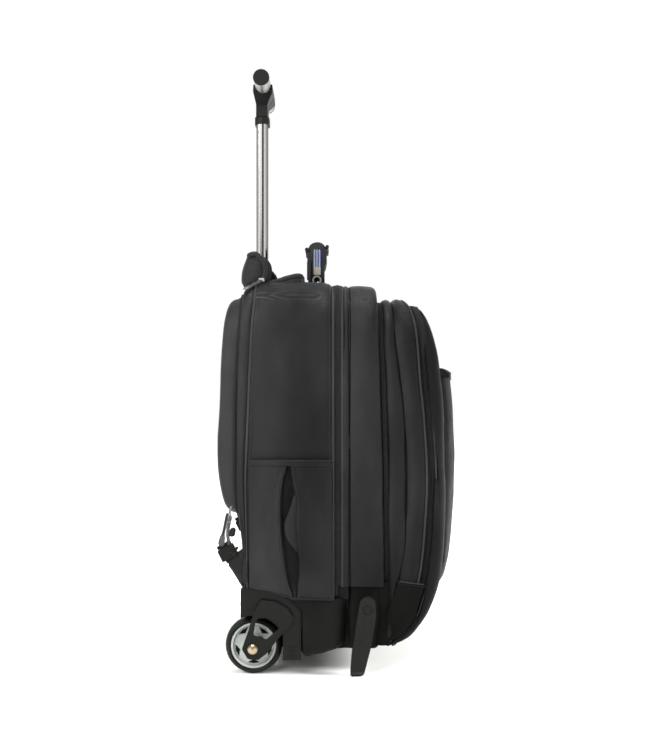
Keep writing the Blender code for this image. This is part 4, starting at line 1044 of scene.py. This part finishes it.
# ---------------------------------------------------------------- cloth round the stowed handle
def handle_garage():
    half, low, high, corner = 0.1115, 0.494, 0.533, 0.008
    rear = smooth_profile([(0.495, 0.1165), (0.5, 0.118), (0.515, 0.1158), (0.525, 0.113),
                           (0.533, 0.1115)])
    front = smooth_profile([(0.495, 0.0985), (0.5026, 0.0948), (0.5129, 0.093), (0.522, 0.0948),
                            (0.529, 0.0985), (0.533, 0.102)])

    def place(u, v):
        z = low + (high - low) * v
        back, fore = rear(z), front(z)
        shares = (0.16, 0.08, 0.52, 0.08, 0.16)
        puff = math.sin(math.pi * (0.06 + 0.88 * v)) ** 0.6
        start = 0.0
        for n, share in enumerate(shares):
            if u <= start + share or n == 4:
                t = min(max((u - start) / share, 0.0), 1.0)
                break
            start += share
        # Shares 0 and 4 are the sides, 1 and 3 the corners, and 2 the back.
        bulge = 0.003 * puff
        r = corner + bulge * 0.9
        if n == 0:
            out = 0.0038 * puff * math.sin(math.pi * (0.08 + 0.92 * t) * 0.75)
            return Vector((-half - out, fore + (back - corner - fore) * t, z))
        if n == 4:
            out = 0.0038 * puff * math.sin(math.pi * (1.0 - 0.92 * t) * 0.75)
            return Vector((half + out, back - corner - (back - corner - fore) * t, z))
        if n == 1:
            a = math.pi - math.pi / 2 * t
            return Vector((-half + corner + r * math.cos(a), back - corner + r * math.sin(a), z))
        if n == 3:
            a = math.pi / 2 - math.pi / 2 * t
            return Vector((half - corner + r * math.cos(a), back - corner + r * math.sin(a), z))
        return Vector((-half + corner + 2 * (half - corner) * t, back + bulge, z))

    obj = cloth_sheet("garage_hood_cloth", place, 120, 22, 0.0035)
    wrinkled(obj, 0.0008, 0.03, 40.0)
    finished(obj, [PADDING, LINING], "garage_hood")
    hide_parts("garage_hood")
    arch = [(0.0984, 0.495), (0.0945, 0.5026), (0.0922, 0.5129), (0.094, 0.522), (0.099, 0.5298),
            (0.1047, 0.5346), (0.111, 0.5335)]
    near = [Vector((-half - 0.0042, y, z)) for y, z in arch]
    far = [Vector((half + 0.0042, y, z)) for y, z in reversed(arch)]
    rim = near + [Vector((x, 0.1128, 0.5322)) for x in steps(-half + 0.002, half - 0.002, 12)] + far
    centre = Vector((0, 0.106, 0.512))
    path = [(p, (p - centre).normalized() if abs(p.x) < half - 0.01 else
             Vector((0, p.y - centre.y, p.z - centre.z)).normalized()) for p in smooth_path(rim)]
    binding = sweep("garage_hood_binding", resample(path, 0.003), disc(0.0036, 12))
    wrinkled(binding, 0.0004, 0.008, 3.3)
    finished(binding, PADDING, "garage_hood")
    # A dark strip of lining cloth along the crease between the binding and the side panel: painted shade.
    for name, side in SIDES.items():
        crease = [Vector((side * (half + 0.003), y + 0.0042, z - 0.0016)) for y, z in arch[:-1]]
        piping(f"garage_hood_crease_shade_{name}", [(p, Vector((side, 0, 0))) for p in smooth_path(crease)],
               "garage_hood", 0.0012, material=LINING)

    gusset_edge = smooth_profile([(0.496, 0.089), (0.504, 0.0872), (0.512, 0.0858), (0.518, 0.0864),
                                  (0.527, 0.092), (0.53, 0.0965)])
    for name, side in SIDES.items():
        def gusset_place(u, v, side=side):
            z = 0.4955 + 0.034 * v
            start, end = front(z) + 0.004, gusset_edge(z)
            out = 0.0016 * math.sin(math.pi * u) * math.sin(math.pi * (0.1 + 0.85 * v))
            return Vector((side * (half - 0.0005 + out - 0.004 * u ** 3), start + (end - start) * u, z))
        dressed_sheet(f"garage_hood_gusset_{name}", gusset_place, (10, 16), 0.003, side < 0,
                      [WEBBING, LINING], "garage_hood")

    # The front lip: a rolled rim on a low wall, highest at the front.
    top = smooth_profile([(0.04, 0.5085), (0.05, 0.5095), (0.06, 0.5075), (0.088, 0.499), (0.096, 0.4965)])
    plan = [(-0.1085, 0.093), (-0.1085, 0.075), (-0.1085, 0.057), (-0.106, 0.0495), (-0.0985, 0.0465),
            (-0.05, 0.0462), (0.0, 0.0462), (0.05, 0.0462), (0.0985, 0.0465), (0.106, 0.0495),
            (0.1085, 0.057), (0.1085, 0.075), (0.1085, 0.093)]
    line = smooth_path([Vector((x, y, 0)) for x, y in plan])
    path = [(Vector((p.x, p.y, top(p.y) - 0.003)), Vector((0, 0, 1))) for p in line]
    roll = sweep("garage_lip_roll", resample(path, 0.003), disc(0.0042, 14, 0.9))
    wrinkled(roll, 0.0006, 0.02, 5.5)
    finished(roll, PADDING, "case")
    rows, count = 5, len(line)
    points = [[Vector((p.x, p.y, 0.4935 + (top(p.y) - 0.0035 - 0.4935) * r / rows)) for r in range(rows + 1)]
              for p in line]

    def wall_place(u, v):
        k = min(round(u * (count - 1)), count - 1)
        row = points[k][min(round(v * rows), rows)].copy()
        out = (row - Vector((0, 0.085, row.z))).normalized()
        return row + out * 0.0018 * math.sin(math.pi * v)

    wall = cloth_sheet("garage_lip_wall", wall_place, count - 1, rows, 0.004, offset=0.0)
    finished(wall, [PADDING, LINING], "case")
    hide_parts("garage_lip")

    # The well that the handle sinks into.
    shape = bmesh.new()
    bmesh.ops.create_cube(shape, size=1.0)
    bmesh.ops.scale(shape, vec=(0.205, 0.0324, 0.048), verts=shape.verts)
    bmesh.ops.translate(shape, vec=(0, WELL_Y, 0.4765), verts=shape.verts)
    bmesh.ops.bevel(shape, geom=[e for e in shape.edges if min(v.co.z for v in e.verts) < 0.4995], offset=0.003,
                    segments=3, affect="EDGES")
    lids = [f for f in shape.faces if f.normal.z > 0.9 and f.calc_center_median().z > 0.49]
    bmesh.ops.delete(shape, geom=lids, context="FACES")
    bmesh.ops.subdivide_edges(shape, edges=[e for e in shape.edges if e.calc_length() > 0.02], cuts=8,
                              use_grid_fill=True)
    well = freeze(solidify(from_bmesh("garage_well_cloth", shape), 0.0014, lined=False))
    carve(well, rounded_block("well_hole", (0.0412, 0.0192, 0.02), 0.004, centre=(0, 0.101, 0.453)))
    finished(well, LINING, "case")
    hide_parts("garage_well")


def smooth_path(points, count=4):
    """A smooth path through points (Catmull-Rom)."""
    found = []
    for k in range(len(points) - 1):
        a = points[max(k - 1, 0)]
        b, c = points[k], points[k + 1]
        d = points[min(k + 2, len(points) - 1)]
        for s in range(count):
            t = s / count
            found.append(0.5 * ((2 * b) + (c - a) * t + (2 * a - 5 * b + 4 * c - d) * t * t
                                + (3 * b - a - 3 * c + d) * t ** 3))
    found.append(points[-1].copy())
    return found


handle_garage()


# ---------------------------------------------------------------- carry handle
def carry_handle():
    y0 = CARRY_Y
    section = [(-0.0125, 0.525), (-0.0132, 0.535), (-0.013, 0.545), (-0.012, 0.5485), (-0.0095, 0.553),
               (-0.0055, 0.5562), (0.0, 0.5574), (0.0055, 0.5562), (0.0095, 0.553), (0.012, 0.5485),
               (0.013, 0.545), (0.0132, 0.535), (0.0125, 0.525), (0.0095, 0.524), (0.0065, 0.525),
               (0.0062, 0.535), (0.0062, 0.544), (0.004, 0.5485), (0.0, 0.5495), (-0.004, 0.5485),
               (-0.0062, 0.544), (-0.0062, 0.535), (-0.0065, 0.525), (-0.0095, 0.524)]
    path = [(Vector((x, y0, 0)), Vector((0, 0, 1))) for x in steps(-0.0565, 0.0565, 36)]
    grip = sweep("carry_grip_wrap", path, [(-y, z) for y, z in section])
    bulge = grip.modifiers.new("round", "SUBSURF")
    bulge.levels = bulge.render_levels = 1
    freeze(grip)
    wrinkled(grip, 0.0009, 0.016, 6.6, (0.6, 1, 1))
    finished(grip, PADDING, "carry_handle")
    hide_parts("carry_grip")
    for n, (dy, z) in enumerate(((0.0134, 0.5462), (-0.0136, 0.5497))):
        edge = [(Vector((x, y0 + dy, z)), Vector((0, math.copysign(1, dy), 0.4)).normalized())
                for x in steps(-0.0575, 0.0575, 20)]
        flange = sweep(f"carry_grip_flange_{n}", edge, disc(0.0024, 10))
        wrinkled(flange, 0.0006, 0.012, 2.0 + n)
        finished(flange, WEBBING, "carry_handle")
    loop = [(-0.0628, 0.5125), (-0.061, 0.523), (-0.0585, 0.535), (-0.056, 0.544), (-0.05, 0.5475),
            (-0.04, 0.5484), (0.0, 0.5486), (0.04, 0.5484), (0.05, 0.5475), (0.056, 0.544),
            (0.0585, 0.535), (0.061, 0.523), (0.0628, 0.5125)]
    line = [(p, Vector((p.x * 2.2, 0, p.z - 0.515)).normalized())
            for p in smooth_path([Vector((x, y0, z)) for x, z in loop])]
    strap = strip("carry_webbing_loop", line, block_section(0.0102, 0.002, 0.0, 0.4), BLUE_GREY, "carry_handle")
    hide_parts("carry_webbing")
    for n, dy in enumerate((-0.0034, 0.0, 0.0034)):
        strip(f"carry_webbing_stripe_{n}", [(p + Vector((0, dy, 0)), o) for p, o in line],
              block_section(0.0011, 0.0007, 0.0012), STRIPE, "carry_handle")
    for name, side in SIDES.items():
        patch = rounded_block(f"carry_patch_{name}", (0.011, 0.0086, 0.003), 0.0006)
        placed(patch, (side * -0.2, 0, 1), (0, side, 0), (side * 0.0634, y0 - 0.0005, 0.5165))
        finished(patch, LABEL, "carry_handle")
        for n, dy in enumerate((0.0105, -0.0075)):
            leg = [(Vector((side * x, y0 + dy, z)), Vector((side, 0, 0.1)).normalized())
                   for x, z in ((0.056, 0.53), (0.058, 0.524), (0.0605, 0.516), (0.0615, 0.509),
                                (0.0612, 0.5045))]
            strip(f"carry_leg_{n}_{name}", leg, block_section(0.0056, 0.002, 0.0, 0.4), WEBBING, "carry_handle")
            if n == 0:
                tab = [(Vector((side * x, y0, z)), Vector((side, 0, 0.1)).normalized())
                       for x, z in ((0.054, 0.529), (0.056, 0.518), (0.057, 0.51), (0.057, 0.5025))]
                strip(f"carry_tab_{name}", tab, block_section(0.016, 0.0016, 0.0, 0.4), WEBBING, "carry_handle")
            rivet = rounded_block(f"carry_rivet_{n}_{name}", (0.0042, 0.0042, 0.0016), 0.0007, 3)
            placed(rivet, (0, 1, 0), (side * 0.3, 0, 1), (side * 0.07, y0 + (0.006, -0.0014)[n], 0.4995))
            finished(rivet, CHROME, "case")


carry_handle()


# ---------------------------------------------------------------- inside
def inside():
    narrow, wide = 0.109, 0.158
    outline = round_corners([(-narrow, 0.0284), (narrow, 0.0284), (narrow, 0.118), (wide, 0.118), (wide, 0.34),
                             (-wide, 0.34), (-wide, 0.118), (-narrow, 0.118)], 0.006)
    board = slab("laptop_divider_pad", outline, 0.062, 0.068, 0.0024)
    finished(board, LINING, "case")
    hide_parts("laptop_divider")
    edge = [(Vector((x, 0.065, z)), Vector((0, 1, 0))) for x, z in outline]
    piping("laptop_divider_binding", edge, "case", 0.0033, True, WEBBING)
    for name, side in SIDES.items():
        inner, outer = side * 0.028, side * 0.1
        corners = [(inner, 0.215), (outer, 0.215), (outer, 0.455), (inner, 0.455)]
        outline = round_corners(corners if side > 0 else corners[::-1], 0.03)
        strap = slab(f"shoulder_strap_pad_{name}", outline, 0.1222, 0.1318, 0.0042)
        wrinkled(strap, 0.0006, 0.02, 3.0)
        finished(strap, PADDING, "case")
        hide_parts(f"shoulder_strap_{name}")


inside()


# ---------------------------------------------------------------- strap ends at the rear corners
def strap_end(name, side):
    # The wing: a folded triangle of webbing sewn into the corner seam.
    def wing_place(u, v):
        top = Vector((0.1175, 0.1575)).lerp(Vector((0.1375, 0.142)), u)
        low = Vector((0.1175, 0.112)).lerp(Vector((0.134, 0.14)), u)
        p = low.lerp(top, v)
        fold = 0.0016 * math.sin(math.pi * v * 2.5 + 0.6) * (1 - u)
        return Vector((side * (0.165 + 0.0016 * math.sin(math.pi * v) + fold), p.x, p.y))

    wing = dressed_sheet(f"strap_wing_cloth_{name}", wing_place, (12, 16), 0.0022, side > 0, WEBBING, "case")
    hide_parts(f"strap_wing_{name}")
    hem = [(Vector((side * 0.1668, 0.1175 + 0.021 * t, 0.158 - 0.015 * t)),
            Vector((side, 0.2, 0.3)).normalized()) for t in steps(-0.15, 1.0, 10)]
    strip(f"strap_wing_hem_{name}", hem, block_section(0.005, 0.0026, 0.0, 0.4), WEBBING, "case")

    # Short webbing from the wing into the buckle, and the ladder bars round it.
    short = smooth_path([Vector((side * 0.1655, y, z)) for y, z in
                         ((0.1265, 0.15), (0.129, 0.154), (0.1325, 0.156), (0.136, 0.1545))])
    line = [(p, Vector((0, -0.45, 0.9)).normalized()) for p in short]
    strip(f"buckle_strap_{name}", line, block_section(0.0125, 0.0024, 0.0, 0.4), WEBBING, "case")
    for n, (y, z, length) in enumerate(((0.1282, 0.1548, 0.015), (0.1258, 0.16, 0.0135))):
        bar = [(Vector((side * x, y, z)), Vector((0, 0.4, 0.9)).normalized())
               for x in steps(0.164 - length / 2, 0.164 + length / 2, 8)]
        strip(f"buckle_bar_{n}_{name}", bar, disc(0.0017, 10), DARK_PLASTIC, "case")

    # The strap that leaves the back panel's lower corner and feeds the plug.
    upper = smooth_path([Vector((side * 0.1655, y, z)) for y, z in
                         ((0.1335, 0.201), (0.135, 0.193), (0.1365, 0.185), (0.137, 0.177),
                          (0.1362, 0.17), (0.1375, 0.1655))])
    line = [(p, Vector((side * 0.35, 0.93, 0.1)).normalized()) for p in upper]
    strip(f"back_strap_{name}", line, block_section(0.011, 0.0018, 0.0, 0.4), GREY_WEB, "case")
    fold = rounded_block(f"strap_fold_{name}", (0.012, 0.007, 0.011), 0.0026, 4)
    wrinkled(fold, 0.0006, 0.006, 1.0)
    placed(fold, (side, 0, 0), (0, 0.97, 0.24), (side * 0.1655, 0.131, 0.1805))
    finished(fold, WEBBING, "case")

    # The back panel's zip slider, at the lower corner.
    body = joined(f"back_zip_slider_{name}", [
        placed(rounded_block("slider_plate", (0.0105, 0.0066, 0.0022), 0.0008, 3), (0, 0.25, -1), (1, 0, 0),
               (side * 0.166, 0.1332, 0.2085)),
        placed(rounded_block("slider_bridge", (0.007, 0.0022, 0.0026), 0.0008, 3), (0, 0.25, -1), (1, 0, 0),
               (side * 0.1682, 0.134, 0.208))])
    finished(body, RING_METAL, "case")
    ring = [(Vector((side * 0.17, 0.1345 + 0.0026 * math.cos(a), 0.1985 + 0.0052 * math.sin(a))),
             Vector((0, math.cos(a), math.sin(a)))) for a in (math.tau * k / 20 for k in range(20))]
    strip(f"back_zip_loop_{name}", ring, disc(0.0007, 8), RING_METAL, f"strap_puller_{name}", True)


for name, side in SIDES.items():
    strap_end(name, side)


def strap_puller(name, side):
    """The long moulded pull on the back zip: a thin stem that widens to a ribbed grip."""
    centre = [(0.1368, 0.205), (0.1386, 0.196), (0.1404, 0.187), (0.1424, 0.178), (0.144, 0.17),
              (0.1452, 0.164)]
    line = [(p, Vector((side, 0, 0))) for p in smooth_path([Vector((side * 0.1718, y, z)) for y, z in centre])]
    widths = smooth_profile([(0.0, 0.55), (0.1, 0.75), (0.55, 0.8), (0.7, 1.35), (0.85, 1.55), (1.0, 1.0)])
    stem = strip(f"strap_puller_grip_{name}", line, block_section(0.0052, 0.0026, 0.0, 0.4), GREY_WEB,
                 f"strap_puller_{name}", sizes=widths)
    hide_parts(f"strap_puller_{name}")
    groove = [(p + Vector((side * 0.001, 0, 0)), o) for p, o in line[:14]]
    strip(f"strap_puller_rib_{name}", groove, block_section(0.0012, 0.001), DARK_PLASTIC,
          f"strap_puller_{name}")


for name, side in SIDES.items():
    strap_puller(name, side)


# ---------------------------------------------------------------- trims low on the case
def lower_trims():
    left = smooth_profile([(0.0385, -0.0605), (0.0534, -0.0618), (0.0727, -0.0634), (0.0944, -0.0694),
                           (0.121, -0.079)])
    right = smooth_profile([(0.0385, -0.064), (0.0483, -0.079), (0.0604, -0.09), (0.076, -0.0994),
                            (0.092, -0.1043), (0.1077, -0.1092), (0.121, -0.112)])
    housing_edge = [(0.1193, 0.1111), (0.105, 0.1112), (0.0861, 0.1104), (0.072, 0.1055), (0.0591, 0.0969),
                    (0.05, 0.087), (0.0455, 0.0814), (0.045, 0.07), (0.0449, 0.04)]
    for name, side in SIDES.items():
        def boot_place(u, v, side=side):
            z = 0.039 + 0.079 * v - 0.004 * u * v
            y = left(z) + (right(z) - left(z)) * u
            puff = 0.0022 * math.sin(math.pi * (0.05 + 0.9 * u)) ** 0.5
            return Vector((side * (0.1612 + puff - 0.008 * (1 - v) ** 6), y, z))
        dressed_sheet(f"pocket_boot_{name}", boot_place, (20, 30), 0.0016, side > 0, [BASE_NYLON, LINING],
                      "front_section", (0.0008, 0.03, 14.0))
        seam = [(boot_place(t, 1.0), Vector((side, 0, 0.3)).normalized()) for t in steps(0.02, 0.98, 12)]
        piping(f"pocket_boot_seam_{name}", seam, "front_section", 0.0009)
        stitches(f"pocket_boot_stitches_{name}",
                 [(p + Vector((side * 0.0004, 0, -0.0028)), n) for p, n in seam], "front_section")

        def front_fill_place(u, v, side=side):
            return Vector((side * (0.1592 + 0.001 * math.sin(math.pi * u)), -0.05 - 0.018 * u,
                           0.037 + 0.08 * v))
        dressed_sheet(f"front_fill_{name}", front_fill_place, (8, 20), 0.0014, side > 0, BASE_NYLON,
                      "front_section", (0.0006, 0.02, 16.0))

        def link_place(u, v, side=side):
            return Vector((side * (0.1585 - 0.003 * math.sin(math.pi * u)), -0.002 - 0.02 * u,
                           0.033 + 0.078 * v))
        dressed_sheet(f"base_link_{name}", link_place, (8, 20), 0.0014, side > 0, BASE_NYLON, "case")
        for row, turn in enumerate((0.15, 0.5)):
            a = math.pi / 2 * turn
            depth = between(offset(PANEL_EDGE, 0.003), PANEL_FACE, math.sin(a))
            band = [(Vector((x, depth(z), z)), Vector((nx, -0.8, nz)).normalized())
                    for x, z, nx, nz in PANEL.ring(0.015 * (1 - math.cos(a)))
                    if z < 0.115 and x * side > 0.12]
            band.sort(key=lambda item: item[0].z)
            piping(f"panel_band_{row}_{name}", band, "front_panel", 0.0008)

        def infill_place(u, v, side=side):
            return Vector((side * (0.17 + 0.0006 * math.sin(math.pi * u)), 0.03 + 0.042 * u,
                           0.06 + 0.04 * v))
        dressed_sheet(f"base_infill_{name}", infill_place, (10, 10), 0.0014, side < 0, BASE_NYLON, "case",
                      (0.0007, 0.02, 15.0))

        line = smooth_path([Vector((side * 0.1716, y, z)) for y, z in housing_edge])
        strip(f"housing_ridge_{name}", [(p + Vector((0, 0.0009, -0.0009)), Vector((side, 0, 0))) for p in line],
              disc(0.001, 8), PLASTIC, "case")
        # The housing's three grooves: thin blocks in the dark lining cloth, whose darkness is painted shade for the
        # grooves' recesses.
        slots = [placed(rounded_block(f"slot_{k}", (0.0085, 0.0014, 0.0012), 0.0004), (0, 1, 0), (0, 0, 1),
                        (side * 0.1722, 0.056, z)) for k, z in enumerate((0.0275, 0.0325, 0.0375))]
        finished(joined(f"housing_groove_shade_{name}", slots), LINING, "case")
        seam = [(Vector((side * 0.161, y, 0.1128)), Vector((side, 0, 0))) for y in steps(-0.015, -0.056, 16)]
        piping(f"front_base_seam_{name}", seam, "case", 0.001)


lower_trims()


def wheel_painted_shade_rings():
    """Painted shade: dark rings set behind the rims' windows, so that the windows read as shadowed."""
    for name, side in SIDES.items():
        rim = NODES[f"rim_{name}"]
        points = [rim.matrix_world @ v.co for v in rim.data.vertices]
        low = [min(p[k] for p in points) for k in range(3)]
        high = [max(p[k] for p in points) for k in range(3)]
        x = (high[0] if side > 0 else low[0]) - side * 0.011
        y, z = (low[1] + high[1]) / 2, (low[2] + high[2]) / 2
        path = [(Vector((x, y + 0.02 * math.cos(a), z + 0.02 * math.sin(a))), Vector((side, 0, 0)))
                for a in steps(0, math.tau, 48)[:-1]]
        # Each ring is a dark sheet that stands in for the shade inside the wheel.
        strip(f"wheel_painted_shade_ring_{name}", path, block_section(0.0084, 0.001), DARK_PLASTIC, f"wheel_{name}",
              True)


wheel_painted_shade_rings()

# ---------------------------------------------------------------- finishes of the CAD nodes that stay
for finish, single, paired in (
    (STEEL, "handle_middle_tube handle_inner_tube", ""),
    (TUBE_STEEL, "handle_outer_tube", "bearing"),
    (SATIN, "grip_bar", ""),
    (DARK_PLASTIC, "handle_yoke handle_middle_collar", "grip_cap"),
    (PLASTIC, "handle_socket handle_anchor release_button frame_sheet",
     "wheel_housing wheel_bracket buckle_socket buckle_plug"),
    (TYRE, "", "tyre"), (RIM, "", "rim"), (BRONZE, "", "axle"), (FOOT_PLASTIC, "", "foot"), (SCREW, "", "foot_screw"),
    (CHROME, "garage_zip_slider garage_zip_puller", ""), (RING_METAL, "", "carry_ring"),
):
    for node in single.split() + [f"{stem}_{name}" for stem in paired.split() for name in SIDES]:
        NODES[node].data.materials.clear()
        NODES[node].data.materials.append(finish)
